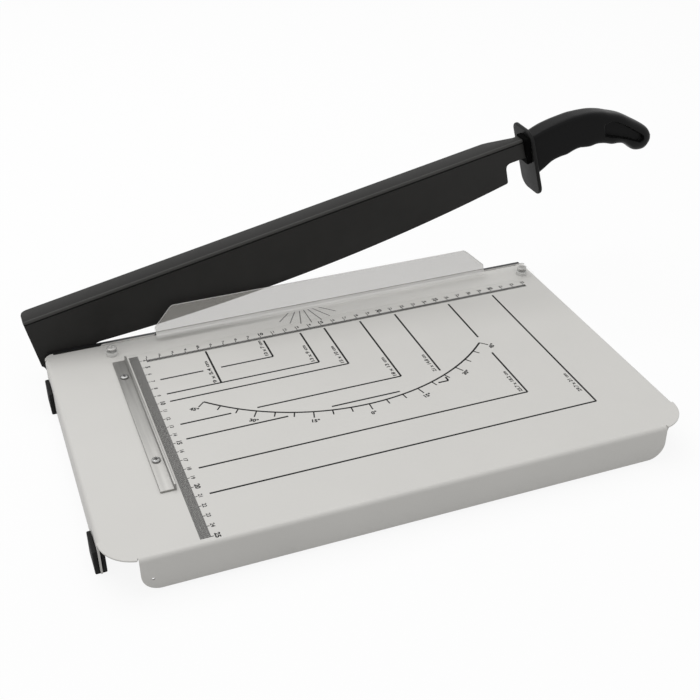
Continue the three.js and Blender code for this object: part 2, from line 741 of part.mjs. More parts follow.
// One cross-section of the grip at a share of its length
function gripRing(share) {
  const top = armRise + gripTop - gripDrop * smoothShare(gripTopShares, share);
  const bottom = armRise + gripTop - gripDrop * smoothShare(gripBottomShares, share);
  const middle = (top + bottom) / 2;
  const tall = (top - bottom) / 2;
  const wide = gripHalfWidth * smoothShare(gripWidthShares, share);
  const nearPower = 2 / smoothShare(gripNearSquareness, share);
  const farPower = 2 / gripFarSquareness;
  return Array.from({ length: gripSides }, (_, side) => {
    const angle = 2 * Math.PI * side / gripSides;
    const [c, s] = [Math.cos(angle), Math.sin(angle)];
    const power = c < 0 ? nearPower : farPower;
    const height = middle + tall * Math.sign(s) * Math.abs(s) ** power;
    return [
      gripStart + gripLength * share + leanAt(height) * (1 - share),
      handleMiddle + wide * Math.sign(c) * Math.abs(c) ** power,
      height,
    ];
  });
}

// Finger recess cut into the grip's near side
function gripPocket() {
  const shape = new THREE.Shape();
  const place = ([along, down]) => new THREE.Vector2(
    gripStart + gripLength * along, armRise + gripTop - gripDrop * down);
  const top = pocketTopShares.map(place);
  const bottom = pocketBottomShares.map(place);
  shape.moveTo(top[0].x, top[0].y);
  shape.splineThru(top.slice(1));
  shape.lineTo(bottom[0].x, bottom[0].y);
  shape.splineThru(bottom.slice(1));
  const near = handleMiddle - gripHalfWidth;
  return prismAlongY(shape, near - cutOverrun, near + pocketDepth);
}

// Moulded grip with finger grooves, hollow for the tang and drilled for its screws
function gripBody() {
  const rings = Array.from({ length: gripStations }, (_, i) => gripRing(
    Math.sin(Math.PI / 2 * i / (gripStations - 1))));
  const slot = tangSlot(gripStart - cutOverrun * 2, tangReach + runningGap);
  const headSeat = handleMiddle + gripHalfWidth - gripHeadSink;
  const drilled = gripScrewPlaces().flatMap((x) => [
    rod(knifeScrewRadius + runningGap, [x, headSeat - gripScrewDepth - runningGap, armRise - gripScrewDrop],
      gripScrewDepth + cutOverrun, 'y'),
    rod(smallHeadRadius + runningGap, [x, headSeat, armRise - gripScrewDrop], gripHeadSink + cutOverrun, 'y'),
  ]);
  return without(loft(rings), [slot, gripPocket(), ...drilled]);
}

// Pieces go into the scene graph by name
function place(parent, name, solid, material, position = [0, 0, 0], turnX = 0) {
  const mesh = new THREE.Mesh(geometryOf(solid), material);
  mesh.name = name;
  mesh.position.set(...position);
  mesh.rotation.x = turnX;
  parent.add(mesh);
}

const headTowardUser = Math.PI / 2;
const headAwayFromUser = -Math.PI / 2;

function addBase(root) {
  const base = new THREE.Group();
  place(base, 'table_plate', tablePlate(), tablePaint);
  place(base, 'bed_knife', bedKnife(), blackSteel);
  const knifeGrip = sheetThickness + knifeThickness - runningGap;
  knifeScrewPlaces().forEach((x, i) => place(
    base, `knife_screw_${i + 1}`,
    panScrew(knifeScrewRadius, knifeGrip, knifeScrewHeadRadius, knifeScrewHeadHeight),
    brightSteel, [x, skirtInner, knifeScrewHeight], headTowardUser));
  const feet = [
    ['front', tableFront + frontFootInset],
    ['back', tableBack - backFootInset - footLength],
  ];
  for (const [end, y] of feet) {
    place(base, `foot_${end}_left`, rubberFoot(0, 1, y), rubber);
    place(base, `foot_${end}_right`, rubberFoot(tableLength, -1, y), rubber);
  }
  root.add(base);
  return base;
}

function addStop(base) {
  place(base, 'paper_stop', paperStop(), aluminium);
  const nutSeat = tableUnderside - smallNutHeight;
  const grip = stopThickness + sheetThickness + smallNutHeight + screwTail;
  stopScrewPlaces().forEach(([x, y], i) => {
    place(base, `stop_screw_${i + 1}`, panScrew(smallScrewRadius, grip, smallHeadRadius, smallHeadHeight),
      brightSteel, [x, y, tableHeight + stopThickness]);
    place(base, `stop_nut_${i + 1}`, hexNut(smallNutRadius, smallNutHeight, smallScrewRadius),
      brightSteel, [x, y, nutSeat]);
  });
}

function addGuard(base) {
  place(base, 'blade_guard', bladeGuard(), acrylic);
  const nutSeat = tableUnderside - smallNutHeight;
  const grip = guardThickness + guardGap + sheetThickness + smallNutHeight + screwTail;
  guardScrewPlaces().forEach(([x, y], i) => {
    const side = ['left', 'right'][i];
    place(base, `guard_screw_${side}`, panScrew(smallScrewRadius, grip, guardHeadRadius, guardHeadHeight),
      brightSteel, [x, y, guardTop]);
    place(base, `guard_spacer_${side}`, washer(spacerRadius, guardGap, smallScrewRadius),
      gripPlastic, [x, y, tableHeight]);
    place(base, `guard_nut_${side}`, hexNut(smallNutRadius, smallNutHeight, smallScrewRadius),
      brightSteel, [x, y, nutSeat]);
  });
}

function addPivot(base) {
  place(base, 'pivot_bracket', pivotBracket(), blackSteel);
  const bracketInner = skirtInner - bracketThickness;
  const bracketGrip = bracketThickness + sheetThickness + knifeThickness - runningGap;
  bracketScrewPlaces().forEach(([x, z], i) => place(
    base, `bracket_screw_${i + 1}`,
    panScrew(knifeScrewRadius, bracketGrip, knifeScrewHeadRadius, knifeScrewHeadHeight),
    brightSteel, [x, bracketInner, z], headTowardUser));
  const washerSeat = armBack + runningGap;
  const headSeat = washerSeat + pivotWasherHeight;
  const discDeep = springDiscCone + springDiscThickness;
  const firstDisc = bracketInner - runningGap;
  const secondDisc = firstDisc - 2 * discDeep;
  const nutSeat = secondDisc - runningGap;
  place(base, 'pivot_washer', washer(pivotWasherRadius, pivotWasherHeight, pivotBoltRadius),
    brightSteel, [pivotInset, headSeat, pivotHeight], headTowardUser);
  place(base, 'pivot_bolt', pivotBolt(headSeat - nutSeat + pivotNutHeight + screwTail), brightSteel,
    [pivotInset, headSeat, pivotHeight], headAwayFromUser);
  place(base, 'spring_disc_1', springDisc(), brightSteel,
    [pivotInset, firstDisc, pivotHeight], headTowardUser);
  place(base, 'spring_disc_2', springDisc(), brightSteel,
    [pivotInset, secondDisc, pivotHeight], headAwayFromUser);
  place(base, 'pivot_nut', hexNut(pivotNutRadius, pivotNutHeight, pivotBoltRadius), brightSteel,
    [pivotInset, nutSeat, pivotHeight], headTowardUser);
}

function addArm(root) {
  const arm = new THREE.Group();
  arm.position.set(pivotInset, 0, pivotHeight);
  arm.rotation.y = -armRaise;
  place(arm, 'cutting_arm', cuttingArm(), blackSteel);
  place(arm, 'hilt_plate', hiltPlate(), gripPlastic);
  place(arm, 'tang_sleeve', tangSleeve(), rubber);
  place(arm, 'grip_body', gripBody(), gripPlastic);
  const headSeat = handleMiddle + gripHalfWidth - gripHeadSink + runningGap;
  gripScrewPlaces().forEach((x, i) => place(
    arm, `grip_screw_${i + 1}`, panScrew(knifeScrewRadius, gripScrewDepth, smallHeadRadius, smallHeadHeight),
    brightSteel, [x, headSeat, armRise - gripScrewDrop], headAwayFromUser));
  root.add(arm);
}

const group = new THREE.Group();
const base = addBase(group);
addStop(base);
addGuard(base);
addPivot(base);
addArm(group);

group.updateMatrixWorld(true);
const box = new THREE.Box3().setFromObject(group, true);
const middle = box.getCenter(new THREE.Vector3());
group.position.set(-middle.x, -middle.y, -box.min.z);
group.updateMatrixWorld(true);

export default group;
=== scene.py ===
"""Looks of a desk guillotine paper cutter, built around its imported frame.

Lengths in the classes are millimetres in the maker's frame. X runs along the cut from the table's
left face, Y away from the user with the cut at 0, and Z up from the desk. Reach, Y and rise are the
same three directions on the blade arm, measured from its pivot before the arm is raised.
"""

import logging
import math
from dataclasses import dataclass, replace
from enum import Enum

import bmesh
import bpy
import numpy as np
from mathutils import Matrix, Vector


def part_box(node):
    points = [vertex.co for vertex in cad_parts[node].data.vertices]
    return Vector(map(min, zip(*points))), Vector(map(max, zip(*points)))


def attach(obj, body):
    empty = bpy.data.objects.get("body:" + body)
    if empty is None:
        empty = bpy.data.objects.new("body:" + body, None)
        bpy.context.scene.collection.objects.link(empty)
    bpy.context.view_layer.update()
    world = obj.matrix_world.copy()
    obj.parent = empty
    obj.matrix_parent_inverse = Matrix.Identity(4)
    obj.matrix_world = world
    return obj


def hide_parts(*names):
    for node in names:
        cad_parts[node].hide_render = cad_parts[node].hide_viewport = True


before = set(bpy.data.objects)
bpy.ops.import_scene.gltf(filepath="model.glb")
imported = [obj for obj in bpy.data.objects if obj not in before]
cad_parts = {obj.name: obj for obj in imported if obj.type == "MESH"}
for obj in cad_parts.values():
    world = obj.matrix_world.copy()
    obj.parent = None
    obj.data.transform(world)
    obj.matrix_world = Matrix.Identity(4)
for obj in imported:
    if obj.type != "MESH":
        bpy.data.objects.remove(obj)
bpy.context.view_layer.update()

LOG = logging.getLogger("paper_cutter")
MM = 0.001
WELD = 1e-6

# Sizes that more than one class needs
TABLE_LENGTH = 410.0
TABLE_TOP = 28.0
SHEET = 1.2
PIVOT = (14.9, 0.0, 16.3)
ARM_TOP = 45.0
GAP = 0.3


class Axis(Enum):
    """Direction that a section is carried along, as the order of its length and its two sides."""

    X = (0, 1, 2)
    Y = (1, 0, 2)
    Z = (1, 2, 0)


class Body(Enum):
    """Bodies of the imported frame."""

    TABLE = "table"
    ARM = "arm"


class Slot(Enum):
    """Material slots of the record."""

    PAINT = "table_paint"
    BLACK = "black_steel"
    BRIGHT = "bright_steel"
    ALUMINIUM = "stop_aluminium"
    ACRYLIC = "guard_acrylic"
    RUBBER = "foot_rubber"
    SPACER = "spacer_plastic"
    GRIP = "grip_plastic"


@dataclass(frozen=True)
class Shell:
    """Closed skin: its points, its four-sided faces and the flat faces that close it.

    Trim holds the number of each four-sided face's finish, then that of each end, where a piece has
    more than one finish.
    """

    points: np.ndarray
    quads: np.ndarray
    caps: tuple
    trim: np.ndarray | None = None


def skin(rings: np.ndarray, closed: bool = False) -> Shell:
    """Skin through rings of points.

    Face (v, u) joins points u and u + 1 of ring v to those of ring v + 1. The last point of a ring
    is joined to its first, and a flat face closes each end unless the rings themselves close.

    Args:
        rings: Points as an array of rings, points and coordinates.
        closed: Whether the last ring is joined to the first.

    Returns:
        The shell.
    """
    count, sides = rings.shape[:2]
    v = np.arange(count if closed else count - 1)[:, None]
    u = np.arange(sides)[None, :]
    ahead, beside = (v + 1) % count, (u + 1) % sides
    corners = [v * sides + u, v * sides + beside, ahead * sides + beside, ahead * sides + u]
    quads = np.stack(corners, axis=-1).reshape(-1, 4)
    first = np.arange(sides)
    caps = () if closed else (first[::-1], first + (count - 1) * sides)
    return Shell(rings.reshape(-1, 3), quads, caps)


def carried(section: np.ndarray, places: np.ndarray) -> np.ndarray:
    """Rings of a section at each place along its length: (place, side, side) for every point."""
    along = np.broadcast_to(places[:, None, None], (*section.shape[:2], 1))
    return np.concatenate([along, section], axis=2)


def repeated(points: np.ndarray, count: int) -> np.ndarray:
    """The same points at every place."""
    return np.repeat(points[None], count, axis=0)


def gathered(shells: list) -> Shell:
    """All the shells in one, each with its own points."""
    starts = np.cumsum([0] + [len(shell.points) for shell in shells[:-1]])
    quads = np.concatenate([shell.quads + start for shell, start in zip(shells, starts)])
    caps = tuple(cap + start for shell, start in zip(shells, starts) for cap in shell.caps)
    return Shell(np.concatenate([shell.points for shell in shells]), quads, caps)


def moved(shell: Shell, place) -> Shell:
    """The shell with its points put through a placing function."""
    return replace(shell, points=place(shell.points))


def facing(shell: Shell, place: tuple, toward: Axis, sign: float = 1.0) -> Shell:
    """Stands a shell made about Z at a place, its head toward an axis.

    Args:
        shell: Shell about Z with its seat at 0.
        place: Where its seat goes.
        toward: Z for upward, Y for along Y.
        sign: 1 or -1, the sense along that axis.

    Returns:
        The placed shell.
    """
    x, y, z = shell.points.T
    rows = (x, sign * y, sign * z) if toward is Axis.Z else (x, sign * z, -sign * y)
    return replace(shell, points=np.stack(rows, axis=1) + np.array(place))


def soft_outline(corners: list, radii: tuple | float, steps: int = 7) -> np.ndarray:
    """Closed outline with a round arc at each corner.

    At a corner C the arc is C + ((1-t)^2 a + t^2 b) / ((1-t)^2 + 2 w t (1-t) + t^2), where a and b
    run back and ahead along the sides by r tan(turn / 2) and w is cos(turn / 2).

    Args:
        corners: Corner places in order round the outline.
        radii: Arc radius of each corner, or one for all.
        steps: Points on each arc.

    Returns:
        Outline points, as an array of points and two coordinates.
    """
    place = np.asarray(corners, float)
    radius = np.broadcast_to(np.asarray(radii, float), len(place))
    inward = place - np.roll(place, 1, axis=0)
    outward = np.roll(place, -1, axis=0) - place
    inward /= np.linalg.norm(inward, axis=1, keepdims=True)
    outward /= np.linalg.norm(outward, axis=1, keepdims=True)
    half_turn = np.arccos(np.clip((inward * outward).sum(axis=1), -1, 1)) / 2
    run = (radius * np.tan(half_turn))[:, None, None]
    weight = np.cos(half_turn)[:, None, None]
    t = np.linspace(0, 1, steps)[None, :, None]
    bottom = (1 - t) ** 2 + 2 * weight * t * (1 - t) + t**2
    shift = (t**2 * outward[:, None] - (1 - t) ** 2 * inward[:, None]) * run / bottom
    return (place[:, None] + shift).reshape(-1, 2)


def inset_directions(outline: np.ndarray) -> np.ndarray:
    """Direction and scale that move each point inward so that both its sides move by one.

    With n and m the inward normals of the two sides, it is (n + m) / (1 + n . m).
    """
    side = np.roll(outline, -1, axis=0) - outline
    x, y = outline.T
    turning = np.sign((x * np.roll(y, -1) - np.roll(x, -1) * y).sum())
    normal = np.stack([-side[:, 1], side[:, 0]], axis=1) * turning
    normal /= np.linalg.norm(normal, axis=1, keepdims=True)
    before = np.roll(normal, 1, axis=0)
    return (normal + before) / (1 + (normal * before).sum(axis=1, keepdims=True))


def swept(outline: np.ndarray, low: float, high: float, axis: Axis, edge: float, steps: int = 4) -> Shell:
    """Outline carried along an axis, its two ends rounded over.

    Near an end the outline is set in by e (1 - sin a) and stands e (1 - cos a) from that end, for a
    from 0 to a right angle.

    Args:
        outline: Section points in the two other coordinates.
        low: Where the body starts along the axis.
        high: Where it ends.
        axis: Direction of the sweep.
        edge: Radius of the rounded ends.
        steps: Rings in each rounded end.

    Returns:
        The closed shell.
    """
    inset = edge * (1 - np.sin(np.linspace(0, np.pi / 2, steps)))
    along = corner_places(edge, steps)
    insets = np.concatenate([inset, inset[::-1]])
    places = np.concatenate([low + along, high - along[::-1]])
    flat = outline[None] + inset_directions(outline)[None] * insets[:, None, None]
    return skin(carried(flat, places)[:, :, list(axis.value)])


def rod(middle: tuple, radius: float, flat: float, low: float, high: float, steps: int = 7) -> Shell:
    """Round rod along Y that cuts a hole: a square whose corner arcs leave a short flat on each side.

    Args:
        middle: X and Z of its middle.
        radius: Half the width of the square.
        flat: Half the length of each flat.
        low: Where the rod starts along Y.
        high: Where it ends.
        steps: Points on each arc.

    Returns:
        The closed shell.
    """
    around = [(-radius, -radius), (radius, -radius), (radius, radius), (-radius, radius)]
    square = np.array(around) + np.array(middle)
    return swept(soft_outline(square, radius - flat, steps), low, high, Axis.Y, edge=0.1)


def about(radius: np.ndarray, height: np.ndarray, angle: np.ndarray) -> np.ndarray:
    """Points (r cos a, r sin a, z) round the Z axis."""
    return np.stack(np.broadcast_arrays(radius * np.cos(angle), radius * np.sin(angle), height), axis=-1)


def turned(profile: tuple, sides: int = 48) -> Shell:
    """Turned ring about Z, whose closed profile is points (r, z)."""
    radius, height = np.array(profile).T[..., None]
    return skin(about(radius, height, np.linspace(0, 2 * np.pi, sides, endpoint=False)), closed=True)


def blended(table: tuple, place: np.ndarray) -> np.ndarray:
    """Smooth value through a table of [place, value] pairs.

    Between two pairs it is the cubic that meets both values, with slopes taken from the pairs on
    either side: (2t^3-3t^2+1) a + (t^3-2t^2+t) h p + (3t^2-2t^3) b + (t^3-t^2) h q.

    Args:
        table: Pairs in rising order of place.
        place: Where the values are wanted.

    Returns:
        The values.
    """
    at, value = np.asarray(table, float).T
    before = np.maximum(np.arange(len(at)) - 1, 0)
    after = np.minimum(np.arange(len(at)) + 1, len(at) - 1)
    slope = (value[after] - value[before]) / (at[after] - at[before])
    right = np.clip(np.searchsorted(at, place), 1, len(at) - 1)
    left = right - 1
    span = at[right] - at[left]
    t = (place - at[left]) / span
    rise = (2 * t**3 - 3 * t**2 + 1) * value[left] + (3 * t**2 - 2 * t**3) * value[right]
    return rise + (t**3 - 2 * t**2 + t) * span * slope[left] + (t**3 - t**2) * span * slope[right]


def eased(value: np.ndarray) -> np.ndarray:
    """Smooth step from 0 to 1: 3t^2 - 2t^3 with t held between 0 and 1."""
    t = np.clip(value, 0, 1)
    return t * t * (3 - 2 * t)


def curve_points(start: tuple, pull: tuple, end: tuple, steps: int) -> np.ndarray:
    """Points (1-t)^2 start + 2t(1-t) pull + t^2 end of a curve drawn toward one pulling point."""
    t = np.linspace(0, 1, steps)[:, None]
    a, b, c = (np.asarray(place, float) for place in (start, pull, end))
    return (1 - t) ** 2 * a + 2 * t * (1 - t) * b + t**2 * c


def rays(angle: np.ndarray) -> np.ndarray:
    """Unit directions (sin a, -cos a), straight down where the angle is 0."""
    return np.stack([np.sin(angle), -np.cos(angle)], axis=1)


def corner_places(radius: float, steps: int) -> np.ndarray:
    """Distances R (1 - cos a) from an end, closest together where its round corner is steepest."""
    return radius * (1 - np.cos(np.linspace(0, np.pi / 2, steps)))


def corner_step(distance: np.ndarray, radius: float) -> np.ndarray:
    """How far a round corner is set in at a distance e from its end: R - sqrt(R^2 - (R - e)^2)."""
    left = radius - np.minimum(distance, radius)
    return radius - np.sqrt(np.maximum(radius**2 - left**2, 0))


def linked(name: str, data: bpy.types.ID) -> bpy.types.Object:
    """New object of some data, in the scene."""
    made = bpy.data.objects.new(name, data)
    bpy.context.scene.collection.objects.link(made)
    return made


def worked_out(made: bpy.types.Object) -> bpy.types.Mesh:
    """Mesh of an object as its modifiers or its outlines give it."""
    bpy.context.view_layer.update()
    return bpy.data.meshes.new_from_object(made.evaluated_get(bpy.context.evaluated_depsgraph_get()))


def shade(mesh: bpy.types.Mesh, sharp: float) -> None:
    """Shades a mesh smooth, but for the edges past an angle in degrees."""
    mesh.shade_smooth()
    mesh.set_sharp_from_angle(angle=math.radians(sharp))


def aimed(right: np.ndarray, up: np.ndarray, back: np.ndarray, place: tuple) -> Matrix:
    """Matrix whose columns are the three directions and the place."""
    return Matrix([*np.column_stack([right, up, back, place]).tolist(), [0.0, 0.0, 0.0, 1.0]])


@dataclass(frozen=True)
class Placement:
    """Puts millimetres of the maker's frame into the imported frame, in metres."""

    left: float
    cut: float
    pivot: tuple = PIVOT
    raised: float = math.radians(11.5)

    @classmethod
    def from_frame(cls, plate: str = "table_plate", knife: float = 3.0) -> "Placement":
        """Reads the table's left face and the cut line from the CAD plate's box."""
        low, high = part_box(plate)
        return cls(left=low.x / MM, cut=high.y / MM + knife)

    def table(self, points: np.ndarray) -> np.ndarray:
        """Places points of the table."""
        return (points + np.array([self.left, self.cut, 0.0])) * MM

    def arm(self, points: np.ndarray) -> np.ndarray:
        """Places points of the arm.

        X is the pivot's plus reach cos(raised) - rise sin(raised), and Z is the pivot's plus
        reach sin(raised) + rise cos(raised).

        Args:
            points: Reach, Y and rise from the pivot.

        Returns:
            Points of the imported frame.
        """
        reach, across, rise = points[:, 0], points[:, 1], points[:, 2]
        cosine, sine = math.cos(self.raised), math.sin(self.raised)
        turned_up = [reach * cosine - rise * sine, across, reach * sine + rise * cosine]
        return self.table(np.stack(turned_up, axis=1) + np.array(self.pivot))


@dataclass(frozen=True)
class Finish:
    """Surface with a fine grain, a slow drift of tone and a little unevenness of gloss."""

    name: str
    colour: tuple
    roughness: float
    metallic: float = 0.0
    drift: float = 0.06
    drift_scale: float = 22.0
    grain_scale: float = 1600.0
    grain_height: float = 0.00002
    gloss_range: float = 0.06
    stretch: tuple = (1.0, 1.0, 1.0)
    specular: float = 0.5
    tone_band: tuple = (0.3, 0.7)
    bump: float = 0.6

    def shader(self, material: bpy.types.Material) -> bpy.types.ShaderNode:
        """The material's own surface shader, with what is the same all over the surface."""
        shader = material.node_tree.nodes["Principled BSDF"]
        shader.inputs["Metallic"].default_value = self.metallic
        shader.inputs["Specular IOR Level"].default_value = self.specular
        return shader

    def material(self) -> bpy.types.Material:
        """Builds the node material.

        Returns:
            The material, with noise on Object coordinates behind its colour, gloss and bump.
        """
        material = bpy.data.materials.new(self.name)
        material.use_nodes = True
        nodes, links = material.node_tree.nodes, material.node_tree.links
        shader = self.shader(material)
        place = nodes.new("ShaderNodeTexCoord")
        mapping = nodes.new("ShaderNodeMapping")
        mapping.inputs["Scale"].default_value = self.stretch
        links.new(place.outputs["Object"], mapping.inputs["Vector"])

        def noise(scale: float, detail: float) -> bpy.types.ShaderNode:
            """Noise of a given scale on the piece."""
            made = nodes.new("ShaderNodeTexNoise")
            made.inputs["Scale"].default_value = scale
            made.inputs["Detail"].default_value = detail
            links.new(mapping.outputs["Vector"], made.inputs["Vector"])
            return made

        tone = nodes.new("ShaderNodeValToRGB")
        low, high = tone.color_ramp.elements
        low.position, high.position = self.tone_band
        low.color = (*(c * (1 - self.drift) for c in self.colour), 1.0)
        high.color = (*(min(1.0, c * (1 + self.drift)) for c in self.colour), 1.0)
        links.new(noise(self.drift_scale, 4.0).outputs["Fac"], tone.inputs["Fac"])
        links.new(tone.outputs["Color"], shader.inputs["Base Color"])
        gloss = nodes.new("ShaderNodeMapRange")
        gloss.inputs["To Min"].default_value = self.roughness - self.gloss_range
        gloss.inputs["To Max"].default_value = self.roughness + self.gloss_range
        links.new(noise(self.drift_scale * 4, 5.0).outputs["Fac"], gloss.inputs["Value"])
        links.new(gloss.outputs["Result"], shader.inputs["Roughness"])
        bump = nodes.new("ShaderNodeBump")
        bump.inputs["Strength"].default_value = self.bump
        bump.inputs["Distance"].default_value = self.grain_height
        links.new(noise(self.grain_scale, 2.0).outputs["Fac"], bump.inputs["Height"])
        links.new(bump.outputs["Normal"], shader.inputs["Normal"])
        return material


@dataclass(frozen=True)
class ClearFinish(Finish):
    """Slightly milky clear plastic that shows what lies behind it."""

    see_through: float = 0.55

    def shader(self, material: bpy.types.Material) -> bpy.types.ShaderNode:
        """The surface shader, let through by the share that shows what is behind."""
        shader = super().shader(material)
        shader.inputs["Alpha"].default_value = 1 - self.see_through
        return shader


FINISHES = {
    "paint": Finish("pale_powder_paint", (0.615, 0.605, 0.58), 0.5, drift=0.012, grain_scale=900.0),
    "knife": Finish("blackened_steel", (0.03, 0.03, 0.031), 0.4, metallic=0.6),
    "blade": Finish(
        "satin_black_paint", (0.026, 0.0255, 0.0245), 0.42, drift=0.12, grain_scale=1100.0, specular=0.12),
    # Lighter black on the arm's outer bend arc: a painted highlight along the fold.
    "painted_bend_highlight": Finish("bend_highlight_paint", (0.05, 0.05, 0.048), 0.42, grain_scale=1100.0, specular=0.12),
    # Darker, less glossy copy of the arm's black paint for the flange's top face: painted shade.
    "flange": Finish(
        "satin_black_flange_shaded", (0.0225, 0.022, 0.021), 0.42, drift=0.12, grain_scale=1100.0, specular=0.07),
    "zinc": Finish("zinc_plate", (0.3, 0.3, 0.295), 0.4, metallic=1.0, drift_scale=60.0),
    "pale_zinc": Finish("pale_zinc_plate", (0.46, 0.455, 0.44), 0.55, metallic=0.5, drift_scale=60.0),
    "aluminium": Finish(
        "brushed_aluminium", (0.325, 0.32, 0.307), 0.42, metallic=0.72, drift_scale=30.0,
        stretch=(14.0, 0.6, 14.0), drift=0.1),
    "acrylic": ClearFinish(
        "milky_acrylic", (0.46, 0.445, 0.415), 0.16, drift=0.02, grain_height=0.000002, see_through=0.62),
    "acrylic_edge": ClearFinish("cut_acrylic_edge", (0.72, 0.71, 0.69), 0.5, drift=0.05, see_through=0.25),
    # Clearer, lighter copy of the guard's acrylic on the flat strip: painted light that keeps the table
    # under it from looking shaded.
    "acrylic_strip": ClearFinish(
        "strip_acrylic_lightened", (0.86, 0.85, 0.83), 0.16, drift=0.02, grain_height=0.000002, see_through=0.95),
    # Lighter, less see-through copy of the acrylic on the bend: painted light over the shade that the curved
    # bend shows.
    "acrylic_bend": ClearFinish(
        "bend_acrylic_lightened", (0.82, 0.81, 0.79), 0.3, drift=0.03, grain_height=0.000002, see_through=0.45),
    "rubber": Finish("matt_rubber", (0.012, 0.012, 0.012), 0.75, specular=0.2),
    # Near-black that hardly reflects: the sleeve's own black together with painted shade where the tang goes
    # into the hilt.
    "sleeve": Finish("black_sleeve_and_shade", (0.002, 0.002, 0.002), 0.8, specular=0.02),
    "hilt": Finish("black_moulding", (0.016, 0.016, 0.016), 0.4, grain_scale=1300.0, specular=0.08),
    "grip": Finish(
        "moulded_grip", (0.008, 0.008, 0.0082), 0.34, grain_scale=1500.0, grain_height=0.00004,
        specular=0.07),
    "spacer": Finish("pale_spacer", (0.6, 0.6, 0.58), 0.5),
    "ink": Finish("black_print", (0.02, 0.02, 0.02), 0.6, drift=0.2, drift_scale=400.0, specular=0.1),
    "grey_ink": Finish("grey_print", (0.11, 0.11, 0.107), 0.6, drift=0.1, drift_scale=400.0),
}


class Workshop:
    """Makes pieces from shells and keeps one material for each finish."""

    def __init__(self, placement: Placement) -> None:
        """Starts with the placement and no material made yet."""
        self.placement = placement
        self.materials: dict = {}

    def finish(self, name: str) -> bpy.types.Material:
        """The material of a finish, made on first use."""
        if name not in self.materials:
            self.materials[name] = FINISHES[name].material()
        return self.materials[name]

    def mesh(self, name: str, shell: Shell, sharp: float) -> bpy.types.Mesh:
        """Turns a shell into a mesh with its doubles merged and its faces turned outward.

        Args:
            name: Name of the mesh.
            shell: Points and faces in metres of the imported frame.
            sharp: Angle in degrees past which an edge is drawn sharp.

        Returns:
            The mesh.
        """
        mesh = bpy.data.meshes.new(name)
        faces = shell.quads.tolist() + [cap.tolist() for cap in shell.caps]
        mesh.from_pydata(shell.points.tolist(), [], faces)
        if shell.trim is not None:
            mesh.polygons.foreach_set("material_index", shell.trim.astype(np.int32))
        work = bmesh.new()
        work.from_mesh(mesh)
        bmesh.ops.remove_doubles(work, verts=work.verts, dist=WELD)
        bmesh.ops.dissolve_degenerate(work, edges=work.edges, dist=WELD)
        bmesh.ops.recalc_face_normals(work, faces=work.faces)
        work.to_mesh(mesh)
        work.free()
        shade(mesh, sharp)
        return mesh

    def piece(
        self, name: str, shell: Shell, finish: str, slot: Slot, body: Body = Body.TABLE,
        stands_for: tuple = (), sharp: float = 35.0, holes: tuple = (), trims: tuple = (),
    ) -> bpy.types.Object:
        """Puts one piece into the scene.

        Args:
            name: Name of the piece.
            shell: Its skin, in the maker's frame of its body.
            finish: Name of its finish.
            slot: Material slot of the record; not used.
            body: Body that it rides on.
            stands_for: CAD nodes that it replaces.
            sharp: Angle in degrees past which an edge is drawn sharp.
            holes: Shells that are cut out of it.
            trims: Names of the finishes of its faces marked 1, 2 and so on.

        Returns:
            The piece.
        """
        place = self.placement.arm if body is Body.ARM else self.placement.table
        mesh = self.mesh(name, moved(shell, place), sharp)
        for each in (finish, *trims):
            mesh.materials.append(self.finish(each))
        piece = linked(name, mesh)
        for hole in holes:
            self.drill(piece, self.mesh(name + "_hole", moved(hole, place), sharp), sharp)
        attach(piece, body.value)
        if stands_for:
            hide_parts(*stands_for)
        LOG.info("%s: %d faces, rides on %s", name, len(piece.data.polygons), body.value)
        return piece

    def fixing(
        self, name: str, node: str, shell: Shell, place: tuple, toward: Axis = Axis.Z, sign: float = 1.0,
        finish: str = "zinc", slot: Slot = Slot.BRIGHT, body: Body = Body.TABLE, sharp: float = 35.0,
    ) -> None:
        """Puts in a screw, a nut or a ring that stands for one CAD node.

        Args:
            name: Name of the piece.
            node: CAD node that it replaces.
            shell: Its skin about Z with its seat at 0.
            place: Where its seat goes.
            toward: Axis that its head points along.
            sign: 1 or -1, the sense along that axis.
            finish: Name of its finish.
            slot: Material slot of the record; handed to piece, which doesn't use it.
            body: Body that it rides on.
            sharp: Angle in degrees past which an edge is drawn sharp.
        """
        self.piece(name, facing(shell, place, toward, sign), finish, slot, body, (node,), sharp)

    def drill(self, piece: bpy.types.Object, cutter: bpy.types.Mesh, sharp: float) -> None:
        """Cuts a shape out of a piece for good."""
        tool = linked(cutter.name, cutter)
        cut = piece.modifiers.new("hole", "BOOLEAN")
        cut.operation, cut.solver, cut.object = "DIFFERENCE", "EXACT", tool
        result = worked_out(piece)
        piece.modifiers.clear()
        piece.data = result
        shade(result, sharp)
        bpy.data.objects.remove(tool)

    def dress(self, node: str, finish: str) -> None:
        """Gives a CAD node its finish."""
        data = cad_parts[node].data
        data.materials.clear()
        data.materials.append(self.finish(finish))
        LOG.info("%s: CAD node with finish %s", node, finish)


